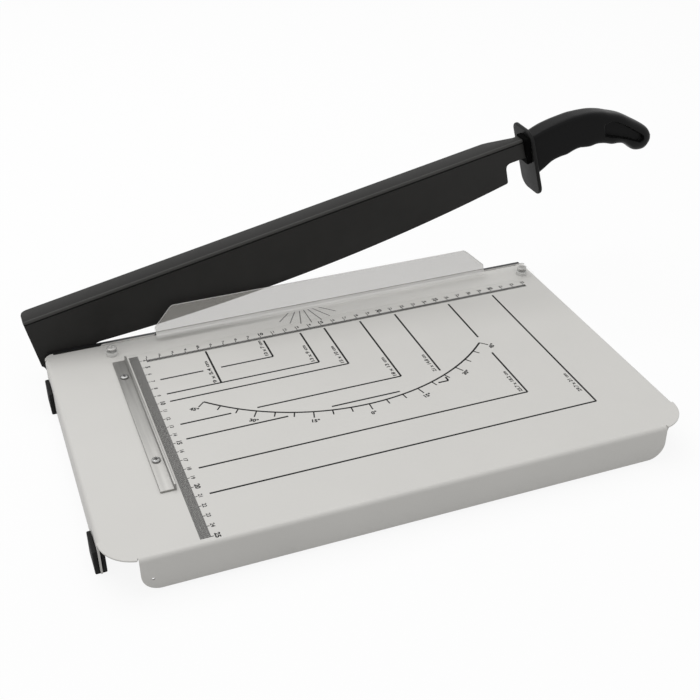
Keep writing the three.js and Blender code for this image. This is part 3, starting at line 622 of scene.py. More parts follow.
@dataclass
class TableSheet:
    """Folded sheet table with round corners, two skirts and two side flanges."""

    length: float = TABLE_LENGTH
    back: float = -3.0
    front: float = -253.5
    top: float = TABLE_TOP
    thickness: float = SHEET
    bend: float = 3.0
    skirt_bottom: float = 2.3
    front_radius: float = 25.0
    back_radius: float = 7.0
    past_corner: float = 4.0
    skirt_radius: float = 12.0
    square_corner: float = 0.4
    edge: float = 0.3
    hole_place: tuple = (28.0, 11.0)
    hole_radius: float = 1.0
    hole_flat: float = 0.1
    hole_run: tuple = (-2.0, 3.0)

    def corner(self, x: float, y: float, radius: float, start: float, end: float) -> np.ndarray:
        """Arc of the plan from one angle to another, in degrees, with its inward directions."""
        angle = np.radians(np.linspace(start, end, 24))
        out = np.stack([np.cos(angle), np.sin(angle)], axis=1)
        return np.concatenate([np.array([x, y]) + radius * out, -out], axis=1)

    def plan(self) -> np.ndarray:
        """Outline of the flat top: the four corner arcs, stepped in by the bend along each side.

        Returns:
            Outline points, each with the direction in which its edge is rounded.
        """
        r, b = self.front_radius, self.back_radius
        first = self.corner(r, self.front + r, r, 180, 270)
        left_front = first[first[:, 0] < r - self.past_corner]
        right_back = self.corner(self.length - b, self.back - b, b, 0, 90)
        near, far = self.front + self.bend, self.back - self.bend
        x0, x1 = r - self.past_corner, self.length - r + self.past_corner
        low, high = self.front + r, self.back - b

        def mirrored(points: np.ndarray) -> np.ndarray:
            """The same points at the other side of the table, in reverse order."""
            return points[::-1] * np.array([-1, 1, -1, 1]) + np.array([self.length, 0, 0, 0])

        def still(*places: tuple) -> np.ndarray:
            """Points on a seam, whose edge isn't rounded."""
            return np.array([[x, y, 0.0, 0.0] for x, y in places])

        return np.concatenate([
            left_front, still((x0, near), (x1, near)), mirrored(left_front),
            still((self.length - self.bend, low), (self.length - self.bend, high)), right_back,
            still((self.length - b, far), (b, far)), mirrored(right_back),
            still((self.bend, high), (self.bend, low)),
        ])

    def slab(self) -> Shell:
        """Flat top: its outline at four heights, set in by the edge radius at the first and last."""
        plan, low, high, e = self.plan(), self.top - self.thickness, self.top, self.edge
        insets = np.array([e, 0.0, 0.0, e])[:, None, None]
        rings = carried(plan[:, :2] + plan[:, 2:] * insets, np.array([low, low + e, high - e, high]))
        return skin(rings[:, :, list(Axis.Z.value)])

    def fold(self, stations: np.ndarray, bottoms: np.ndarray) -> np.ndarray:
        """Section of a bend and its wall at each station.

        Both arcs are depth = R - r sin a, height = top - R + r cos a, with R the outer radius. From the
        outer one the wall runs down to the station's own bottom, round its edge and up to the inner.

        Args:
            stations: Places along the fold.
            bottoms: Height of the wall's lower edge at each place.

        Returns:
            Array of stations, section points and (along, depth, height).
        """
        angle, turn = np.linspace(0, np.pi / 2, 10), np.linspace(0, np.pi, 7)
        outer_arc, inner_arc = (
            np.stack([self.bend - r * np.sin(angle), self.top - self.bend + r * np.cos(angle)], 1)
            for r in (self.bend, self.bend - self.thickness))
        lip = self.thickness / 2 * (1 - np.stack([np.cos(turn), np.sin(turn)], 1))
        bottom = lip + np.stack([np.zeros_like(bottoms), bottoms], axis=1)[:, None]
        count = len(stations)
        section = [repeated(outer_arc, count), bottom, repeated(inner_arc[::-1], count)]
        return carried(np.concatenate(section, axis=1), stations)

    def wall(self, low: float, high: float, face: float, inward: float, axis: Axis, radius: float) -> Shell:
        """One fold from low to high, its outer face at face and its lower corners rounded.

        Args:
            low: Where it starts along its length.
            high: Where it ends.
            face: Place of its outer face.
            inward: 1 or -1, the sense of the table's middle.
            axis: Direction of its length, X or Y.
            radius: Radius of its lower corners.

        Returns:
            The shell.
        """
        ends = corner_places(radius, 14)
        stations = np.concatenate([low + ends, np.linspace(low, high, 12)[1:-1], (high - ends)[::-1]])
        stations = np.unique(np.round(stations, 4))
        lift = corner_step(np.minimum(stations - low, high - stations), radius)
        rings = self.fold(stations, self.skirt_bottom + lift)
        rings[..., 1] = face + inward * rings[..., 1]
        return skin(rings[:, :, list(axis.value)])

    def build(self, shop: Workshop) -> None:
        """Makes the top with its side and back folds, and the front skirt with its small hole."""
        x0, b, square = self.front_radius - self.past_corner, self.back_radius, self.square_corner
        low, high = self.front + self.front_radius, self.back - b
        rest = [
            self.slab(),
            self.wall(b, self.length - b, self.back, -1, Axis.X, square),
            self.wall(low, high, 0.0, 1, Axis.Y, square),
            self.wall(low, high, self.length, -1, Axis.Y, square),
        ]
        shop.piece("table_sheet", gathered(rest), "paint", Slot.PAINT, stands_for=("table_plate",))
        skirt = self.wall(x0, self.length - x0, self.front, 1, Axis.X, self.skirt_radius)
        start, end = (self.front + run for run in self.hole_run)
        hole = rod(self.hole_place, self.hole_radius, self.hole_flat, start, end)
        shop.piece("front_skirt", skirt, "paint", Slot.PAINT, stands_for=("table_plate",), holes=(hole,))


@dataclass
class Feet:
    """Four U-shaped rubber feet pushed over the side flanges."""

    length: float = 21.3
    tall: float = 18.0
    wall: float = 2.9
    slot_bottom: float = 2.3
    fronts: tuple = (("front", -225.1), ("back", -43.0))
    corner_radii: tuple = (0.9, 0.9, 1.0, 0.4, 0.2, 0.2, 0.4, 1.0)
    edge: float = 0.35

    def build(self, shop: Workshop) -> None:
        """Makes each foot by carrying its U section along the flange."""
        inside = SHEET + GAP
        depths = np.array([-GAP - self.wall, inside + self.wall, inside, -GAP])
        for side, face, inward in (("left", 0.0, 1.0), ("right", TABLE_LENGTH, -1.0)):
            a, b, c, d = face + inward * depths
            section = soft_outline([
                (a, 0.0), (b, 0.0), (b, self.tall), (c, self.tall), (c, self.slot_bottom),
                (d, self.slot_bottom), (d, self.tall), (a, self.tall)], self.corner_radii)
            for end, start in self.fronts:
                name = f"foot_{end}_{side}"
                foot = swept(section, start, start + self.length, Axis.Y, self.edge)
                shop.piece(f"rubber_{name}", foot, "rubber", Slot.RUBBER, stands_for=(name,))


@dataclass
class PaperStop:
    """Aluminium angle with a low wall, held by two screws."""

    left: float = 46.8
    right: float = 57.5
    back: float = -34.3
    front: float = -196.8
    height: float = 5.0
    thickness: float = 1.5
    corner_radii: tuple = (0.2, 0.2, 0.35, 0.35, 0.5, 0.35)
    edge: float = 0.25

    def build(self, shop: Workshop) -> None:
        """Carries the angle's section along Y."""
        seat, top, step = TABLE_TOP, TABLE_TOP + self.height, TABLE_TOP + self.thickness
        inner = self.right - self.thickness
        section = soft_outline([
            (self.left, seat), (self.right, seat), (self.right, top), (inner, top), (inner, step),
            (self.left, step)], self.corner_radii)
        angle = swept(section, self.front, self.back, Axis.Y, self.edge)
        shop.piece("stop_angle", angle, "aluminium", Slot.ALUMINIUM, stands_for=("paper_stop",))


@dataclass
class BladeGuard:
    """Clear guard: a flat strip whose middle is bent up into a leaning flap with cut corners."""

    left: float = 42.5
    right: float = 406.2
    front: float = -33.7
    ear: float = -10.5
    under: float = 31.0
    thickness: float = 2.0
    bend: float = 3.0
    lean: float = math.radians(22.0)
    flap_left: float = 85.6
    flap_right: float = 367.1
    rise: float = 18.6
    corner_run: float = 17.2
    shoulder: float = 5.2
    front_radius: float = 5.0
    ear_radius: float = 2.0
    morph: float = 1.2
    edge: float = 0.35
    side_step: float = 0.9
    middle_from: float = 20.0
    arc_points: int = 10
    tip_points: int = 4

    def stations(self) -> np.ndarray:
        """Places along the guard, close together at its ends, at the flap's ends and its corners."""
        ends = corner_places(self.front_radius, 12)
        change = np.linspace(0, self.morph, 5)
        slope = np.linspace(self.morph, self.corner_run + 1, 8)
        places = [
            self.left + ends, self.right - ends, self.flap_left - change, self.flap_left + slope,
            self.flap_right + change, self.flap_right - slope,
            np.linspace(self.flap_left + self.middle_from, self.flap_right - self.middle_from, 12)]
        return np.unique(np.round(np.concatenate(places), 4))

    def section(self, x: np.ndarray) -> np.ndarray:
        """Section of the guard at each place along it.

        The flap's outer and inner skins follow two arcs about one centre and then run straight for
        (limit - start) / sin(turn). The limit is the flap's top or its cut corner, whichever is lower.
        Past the flap's ends the same points lie round the flat ear, and over a short run the two
        are mixed as (1 - m) ear + m flap.

        Args:
            x: Places along the guard.

        Returns:
            Array of places, section points and (Y, Z).
        """
        count, e = len(x), self.edge
        end = np.minimum(x - self.left, self.right - x)
        front = self.front + corner_step(end, self.front_radius)
        ear = self.ear - corner_step(end, self.ear_radius)
        low, top = self.under, self.under + self.thickness
        outer = self.bend + self.thickness
        turn = np.pi / 2 - self.lean
        centre = np.array([self.ear - outer, low + outer])
        ray = rays(np.linspace(0, turn, self.arc_points))
        outer_arc, inner_arc = centre + outer * ray, centre + self.bend * ray
        run_in = np.minimum(x - self.flap_left, self.flap_right - x)
        slope = (self.rise + self.thickness - self.shoulder) / self.corner_run
        limit = top + np.minimum(self.rise, self.shoulder + np.maximum(run_in, 0) * slope)
        straight = ((limit - outer_arc[-1, 1]) / np.sin(turn))[:, None, None]
        along = np.array([np.cos(turn), np.sin(turn)])
        across = (inner_arc[-1] - outer_arc[-1]) * e / self.thickness
        flap = np.concatenate([
            repeated(outer_arc, count), outer_arc[-1] + along * (straight - e),
            outer_arc[-1] + along * straight + across, inner_arc[-1] + along * straight - across,
            inner_arc[-1] + along * (straight - e), repeated(inner_arc[::-1], count)], axis=1)

        def pile(y: np.ndarray, *steps: tuple) -> np.ndarray:
            """Points (y + step, height) at every place."""
            return np.stack([
                np.stack([y + step, np.full(count, height)], axis=1) for step, height in steps], axis=1)

        share = np.linspace(0, 1, self.arc_points)[None, :, None]
        low_run = np.array([centre[0], low]) * (1 - share) + pile(ear, (-e, low)) * share
        high_run = (low_run + np.array([0, self.thickness]))[:, ::-1]
        side = pile(ear, (0, low + e), (0, low + self.side_step), (0, top - self.side_step), (0, top - e))
        flat = np.concatenate([low_run, side, high_run], axis=1)
        mix = eased(run_in / self.morph + 1)[:, None, None]
        nose = pile(front, (e, top), (0, top - e), (0, low + e), (e, low))
        return np.concatenate([(1 - mix) * flat + mix * flap, nose], axis=1)

    def trims(self, x: np.ndarray, sides: int) -> np.ndarray:
        """Number of each face's finish: 0 for the flap, 1 its cut edge, 2 the strip and 3 the bend; the
        strip and the bend take lightened copies of the acrylic as painted light.

        Args:
            x: Places along the guard.
            sides: Points of a section.

        Returns:
            The numbers of the four-sided faces, then those of the two ends.
        """
        flap, edge, strip, bend = range(4)
        middle = (x[:-1] + x[1:]) / 2
        raised = ((middle > self.flap_left) & (middle < self.flap_right))[:, None]
        first_inner = self.arc_points + self.tip_points
        last_inner = first_inner + self.arc_points - 1
        column = np.arange(sides)[None, :]
        bent = (column < self.arc_points - 1) | ((column >= first_inner) & (column < last_inner))
        trim = np.where(raised & (column < last_inner), np.where(bent, bend, flap), strip)
        trim = np.where((column >= self.arc_points) & (column < first_inner - 1), edge, trim)
        return np.concatenate([trim.ravel(), [strip, strip]])

    def build(self, shop: Workshop) -> None:
        """Makes the guard as one skin through its sections."""
        x = self.stations()
        section = self.section(x)
        guard = replace(skin(carried(section, x)), trim=self.trims(x, section.shape[1]))
        shop.piece(
            "clear_guard", guard, "acrylic", Slot.ACRYLIC, stands_for=("blade_guard",), sharp=30.0,
            trims=("acrylic_edge", "acrylic_strip", "acrylic_bend"))


@dataclass(frozen=True)
class Fastener:
    """Turned screw with a domed head and a cross recess, standing on its seat with the shank down."""

    radius: float
    length: float
    head_radius: float
    head_height: float
    pitch: float = 0.7
    recess_reach: float = 0.66
    recess_half: float = 0.17
    recess_end: float = 0.12
    recess_depth: float = 0.85
    fall: float = 0.45
    rim_share: float = 0.12
    rim_inset: float = 0.2
    point: float = 0.6

    def shell(self, sides: int = 48) -> Shell:
        """Skin of the screw about Z.

        The head's top is h (1 - f q^3) at a share q of its radius, less the recess, whose depth is
        d h times the larger of two eased bars that cross at the middle. The shank's radius is
        r - k |saw(z / pitch + a / 2 pi)|, with k = 0.08 r + 0.04 but 0.4 at most, eased in over the
        first turn. Over its point it narrows to three quarters.

        Args:
            sides: Points round the screw.

        Returns:
            The closed shell.
        """
        angle = np.linspace(0, 2 * np.pi, sides, endpoint=False)[None, :]
        q = np.linspace(0, 1, 22)[:, None]
        x, y = q * np.cos(angle), q * np.sin(angle)

        def bar(across: np.ndarray, along: np.ndarray) -> np.ndarray:
            """One bar of the cross, eased at its sides and ends."""
            sides_eased = eased((self.recess_half * 1.5 - np.abs(across)) / self.recess_half)
            return sides_eased * eased((self.recess_reach - np.abs(along)) / self.recess_end)

        dip = np.maximum(bar(x, y), bar(y, x)) * self.recess_depth * self.head_height
        crown = self.head_height * (1 - self.fall * q**3) - dip
        rim = np.array([[self.head_radius], [self.head_radius - self.rim_inset]])
        z = -np.linspace(0, 1, max(8, int(self.length / self.pitch * 5)))[:, None] * self.length
        saw = np.abs(((z / self.pitch + angle / (2 * np.pi)) % 1.0) * 2 - 1)
        depth = min(0.08 * self.radius + 0.04, 0.4) * eased(-z / self.pitch)
        taper = eased((self.length + z) / self.point) * 0.25 + 0.75
        return skin(np.concatenate([
            about(q * self.head_radius, crown, angle),
            about(rim, np.array([[self.head_height * self.rim_share], [0.0]]), angle),
            about((self.radius - depth * saw) * taper, z, angle)]))


def hex_ring(radius: float, height: float, hole: float, chamfer: float, sides: int = 72) -> Shell:
    """Hexagon nut with both faces chamfered.

    The wall stands at R cos 30 / cos(a mod 60 - 30), and its edges come down where a cone from the
    chamfer circle meets it, by (wall - circle) tan 30.

    Args:
        radius: Corner radius.
        height: Height of the nut.
        hole: Radius of its bore, or 0 for a closed head.
        chamfer: Radius of the flat circle on its faces.
        sides: Points round the nut.

    Returns:
        The closed shell.
    """
    angle = np.linspace(0, 2 * np.pi, sides, endpoint=False)
    wall = radius * math.cos(math.pi / 6) / np.cos(angle % (np.pi / 3) - np.pi / 6)
    fall = np.maximum(wall - chamfer, 0) * math.tan(math.pi / 6)
    circle = np.minimum(wall, chamfer)
    rows = [
        (hole, 0.0), (circle, 0.0), (wall, fall), (wall, height - fall), (circle, height), (hole, height)]
    return skin(np.array([about(r, z, angle) for r, z in rows]), closed=hole > 0)


@dataclass
class Fixings:
    """Screws, nuts and spacers of the stop, the guard, the knife and the bracket.

    A nut is given by its corner radius, height, bore and the flat circle of its faces, and a turned
    ring by its profile of (radius, height).
    """

    nut: tuple = (3.1, 2.4, 1.8, 2.75)
    spacer: tuple = ((1.8, 0.0), (4.3, 0.0), (4.6, 0.3), (4.6, 2.7), (4.3, 3.0), (1.8, 3.0))
    guard_screw: Fastener = Fastener(1.5, 9.8, 3.8, 1.6, recess_depth=0.6, fall=0.35)
    guard_top: float = 33.0
    guard_places: tuple = (("left", 49.3), ("right", 399.4))
    guard_y: float = -20.2
    stop_screw: Fastener = Fastener(1.5, 6.3, 3.0, 1.8)
    stop_top: float = TABLE_TOP + 1.5
    stop_x: float = 51.4
    stop_places: tuple = ((1, -57.6), (2, -164.0))
    knife_screw: Fastener = Fastener(2.0, 3.9, 3.6, 2.4)
    knife_places: tuple = (75.0, 385.0, 5)
    knife_height: float = 18.0
    skirt_inner: float = -4.2
    bracket_screw: Fastener = Fastener(2.0, 7.9, 3.6, 2.4)
    bracket_x: float = 36.3
    bracket_inner: float = -8.2
    bracket_heights: tuple = ((1, 21.3), (2, 11.3))

    def build(self, shop: Workshop) -> None:
        """Makes every fixing that stays with the table."""
        nut, spacer, nut_seat = hex_ring(*self.nut), turned(self.spacer), TABLE_TOP - SHEET - self.nut[1]
        for side, x in self.guard_places:
            seat = (x, self.guard_y, self.guard_top)
            screw, under = self.guard_screw.shell(), (x, self.guard_y, nut_seat)
            shop.fixing(f"guard_fixing_{side}", f"guard_screw_{side}", screw, seat, finish="pale_zinc")
            shop.fixing(
                f"spacer_ring_{side}", f"guard_spacer_{side}", spacer, (x, self.guard_y, TABLE_TOP),
                finish="spacer", slot=Slot.SPACER)
            shop.fixing(f"guard_nut_{side}_hexagon", f"guard_nut_{side}", nut, under, sharp=25.0)
        for index, y in self.stop_places:
            seat, under = (self.stop_x, y, self.stop_top), (self.stop_x, y, nut_seat)
            shop.fixing(f"stop_fixing_{index}", f"stop_screw_{index}", self.stop_screw.shell(), seat)
            shop.fixing(f"stop_nut_{index}_hexagon", f"stop_nut_{index}", nut, under, sharp=25.0)
        inward = Axis.Y, -1.0
        for index, x in enumerate(np.linspace(*self.knife_places), start=1):
            screw, seat = self.knife_screw.shell(), (x, self.skirt_inner, self.knife_height)
            shop.fixing(f"knife_fixing_{index}", f"knife_screw_{index}", screw, seat, *inward)
        for index, height in self.bracket_heights:
            screw, seat = self.bracket_screw.shell(), (self.bracket_x, self.bracket_inner, height)
            shop.fixing(f"bracket_fixing_{index}", f"bracket_screw_{index}", screw, seat, *inward)


@dataclass
class Pivot:
    """Bolt, washer, spring discs and nut of the pivot, given as the fixings are."""

    washer: tuple = ((5.3, 0.0), (9.2, 0.0), (9.5, 0.3), (9.5, 1.2), (9.2, 1.5), (5.3, 1.5))
    cone: tuple = ((5.3, 1.2), (8.15, 0.0), (8.3, 0.15), (8.3, 0.95), (8.15, 1.1), (5.3, 2.3))
    head: tuple = (8.6, 6.0, 0.0, 7.5)
    head_seat: float = 4.6
    bolt: float = 5.0
    bolt_collar: tuple = (5.4, 0.4)
    bolt_pitch: float = 1.5
    bolt_sides: int = 64
    past_nut: float = 1.2
    discs: tuple = ((1, -8.5, -1.0), (2, -13.1, 1.0))
    nut: tuple = (8.2, 7.0, 5.3, 7.2)
    nut_seat: float = -13.4
    sides: int = 72

    def build(self, shop: Workshop) -> None:
        """Makes the turned and six-sided pieces of the pivot."""
        x, _, z = PIVOT
        seat, nut_seat = (x, self.head_seat, z), (x, self.nut_seat, z)
        washer, cone = turned(self.washer, self.sides), turned(self.cone, self.sides)
        shop.fixing("pivot_washer_ring", "pivot_washer", washer, seat, Axis.Y, -1.0)
        length = self.head_seat - self.nut_seat + self.nut[1] + self.past_nut
        shank = Fastener(self.bolt, length, *self.bolt_collar, self.bolt_pitch, recess_depth=0.0)
        bolt = gathered([hex_ring(*self.head), shank.shell(self.bolt_sides)])
        shop.fixing("pivot_bolt_turned", "pivot_bolt", bolt, seat, Axis.Y, sharp=25.0)
        for index, y, sign in self.discs:
            shop.fixing(f"spring_cone_{index}", f"spring_disc_{index}", cone, (x, y, z), Axis.Y, sign)
        shop.fixing(
            "pivot_nut_hexagon", "pivot_nut", hex_ring(*self.nut), nut_seat, Axis.Y, -1.0, sharp=25.0)


@dataclass
class BladeArm:
    """Folded blade arm: a tall face with the cutting edge below and a flange above, and its tang."""

    front: float = 0.3
    thickness: float = 2.5
    bend: float = 1.6
    inner_bend: float = 0.5
    heel: float = 16.99
    rise: float = ARM_TOP
    heel_radius: float = 15.0
    heel_turn: float = math.radians(25.7)
    heel_pull: float = 1.4
    blade_start: tuple = (31.5, 6.5)
    belly: tuple = (215.0, -11.0)
    blade_reach: float = 387.0
    tip_rise: float = 10.8
    tip_radius: float = 2.0
    tang_bottom: float = 28.2
    tang_top: float = 39.0
    tang_fillet: float = 5.0
    tang_end: float = 461.0
    flange_end: float = 408.3
    bevel: float = 5.0
    square_edge: float = 0.35
    grind_run: float = 8.0
    edge: float = 0.4
    edge_tilt: float = 0.02
    rim: float = 0.45
    rim_share: float = 0.3
    small_edge: float = 0.1
    widths: tuple = ((-17.0, 18.53), (377.0, 17.4), (400.0, 9.6), (420.0, 9.6))
    flange_corner: float = 6.0
    groove_top: float = 42.9
    groove_depth: float = 1.3
    groove_width: float = 1.0
    pivot_hole: float = 5.3
    hole_flat: float = 0.05
    hole_run: tuple = (-2.0, 5.0)
    hole_steps: int = 17
    tang_overlap: float = 3.0
    tang_edge: float = 0.3
    arc_points: int = 9

    def lower_edge(self) -> np.ndarray:
        """Reach and rise along the lower edge: heel arc, curve to the blade, belly, tip and tang."""
        r, tip, step, tang = self.heel_radius, self.blade_reach, 0.02, self.tang_bottom
        angle = np.linspace(np.pi, 2 * np.pi - self.heel_turn, 30)
        arc = r * np.stack([np.cos(angle), np.sin(angle)], axis=1)
        pull = (arc[-1, 0] * self.heel_pull, self.blade_start[1])
        belly_end = (tip - self.tip_radius, self.tip_rise)
        return np.concatenate([
            curve_points((-self.heel, r / 4), (-r - step, r / 8), (-r - step, 0.05), 5),
            arc,
            curve_points(tuple(arc[-1]), pull, self.blade_start, 14)[1:],
            curve_points(self.blade_start, self.belly, belly_end, 70)[1:],
            curve_points(belly_end, (tip, self.tip_rise), (tip, self.tip_rise + self.tip_radius), 7)[1:],
            curve_points(
                (tip + step, tang - self.tang_fillet), (tip + step, tang),
                (tip + self.tang_fillet, tang), 9),
            np.array([[self.widths[2][0], tang], [self.flange_end, tang]]),
        ])

    def section(self, edge: np.ndarray) -> np.ndarray:
        """Section of the arm at each point of its lower edge.

        It runs round the flange's end, back under it to the inner bend arc, down the far face, along
        the ground bevel to the edge, up the near face, into the groove below the bend and over the
        outer bend arc.

        Args:
            edge: Reach and rise of the lower edge.

        Returns:
            Rings of (reach, Y, rise).
        """
        x, low = edge.T
        count = len(x)
        at, width = np.array(self.widths).T
        t = np.sqrt(np.clip((x + self.heel) / self.flange_corner, 0, 1))
        far = np.interp(x, at, width) - self.flange_corner * (1 - (2 * t - t * t))
        near, back = self.front, self.front + self.thickness
        top, under = self.rise, self.rise - self.thickness
        ground = eased((x - self.blade_start[0]) / self.grind_run) * (x < self.blade_reach)
        bevel = self.square_edge + ground * (self.bevel - self.square_edge)
        square_land = self.thickness - self.edge
        land = square_land - ground * (square_land - self.edge)
        swing = np.linspace(0, np.pi / 2, self.arc_points)
        ray = np.stack([-np.cos(swing), np.sin(swing)], axis=1)
        inner_arc = np.array([back, under]) + self.inner_bend * (ray[::-1] + np.array([1.0, -1.0]))
        outer_arc = np.array([near + self.bend, top - self.bend]) + self.bend * ray
        e, inset = self.rim, self.rim * self.rim_share
        high, small = self.groove_top, self.small_edge
        groove, floor = high - self.groove_width, near + self.groove_depth

        def at_each(y: np.ndarray | float, z: np.ndarray | float) -> np.ndarray:
            """One point of the section at every place."""
            return np.stack([np.broadcast_to(y, count), np.broadcast_to(z, count)], axis=1)[:, None]

        rings = np.concatenate([
            at_each(far - e, top), at_each(far - inset, top - inset), at_each(far, top - e),
            at_each(far, under + e), at_each(far - inset, under + inset), at_each(far - e, under),
            repeated(inner_arc, count),
            at_each(back, low + bevel), at_each(near + land, low + self.edge_tilt),
            at_each(near + small, low), at_each(near, low + small + self.edge_tilt),
            at_each(near, groove - small), at_each(floor, groove), at_each(floor, high - small),
            at_each(near, high), repeated(outer_arc, count),
        ], axis=1)
        return carried(rings, x)

    def build(self, shop: Workshop) -> None:
        """Makes the folded arm with its pivot hole, and the flat tang that goes into the grip."""
        section = self.section(self.lower_edge())
        column = np.arange(section.shape[1])
        flange = len(column) - 1
        # Faces of the outer bend arc take the lighter black of the painted bend highlight.
        trim = np.where(column == flange, 2, column > flange - self.arc_points - 1).astype(int)
        trim = np.concatenate([np.tile(trim, len(section) - 1), [0, 0]])
        start, end = (self.front + run for run in self.hole_run)
        hole = rod((0.0, 0.0), self.pivot_hole, self.hole_flat, start, end, self.hole_steps)
        # The flange's top face takes the darker copy of the black paint, as painted shade.
        shop.piece(
            "folded_blade_arm", replace(skin(section), trim=trim), "blade", Slot.BLACK, Body.ARM,
            ("cutting_arm",), 30.0, (hole,), ("painted_bend_highlight", "flange"))
        near, back, low, high = self.front, self.front + self.thickness, self.tang_bottom, self.tang_top
        plate = soft_outline([(near, low), (back, low), (back, high), (near, high)], self.tang_edge)
        tang = swept(plate, self.flange_end - self.tang_overlap, self.tang_end, Axis.X, self.tang_edge)
        shop.piece("flat_tang", tang, "blade", Slot.BLACK, Body.ARM, ("cutting_arm",))


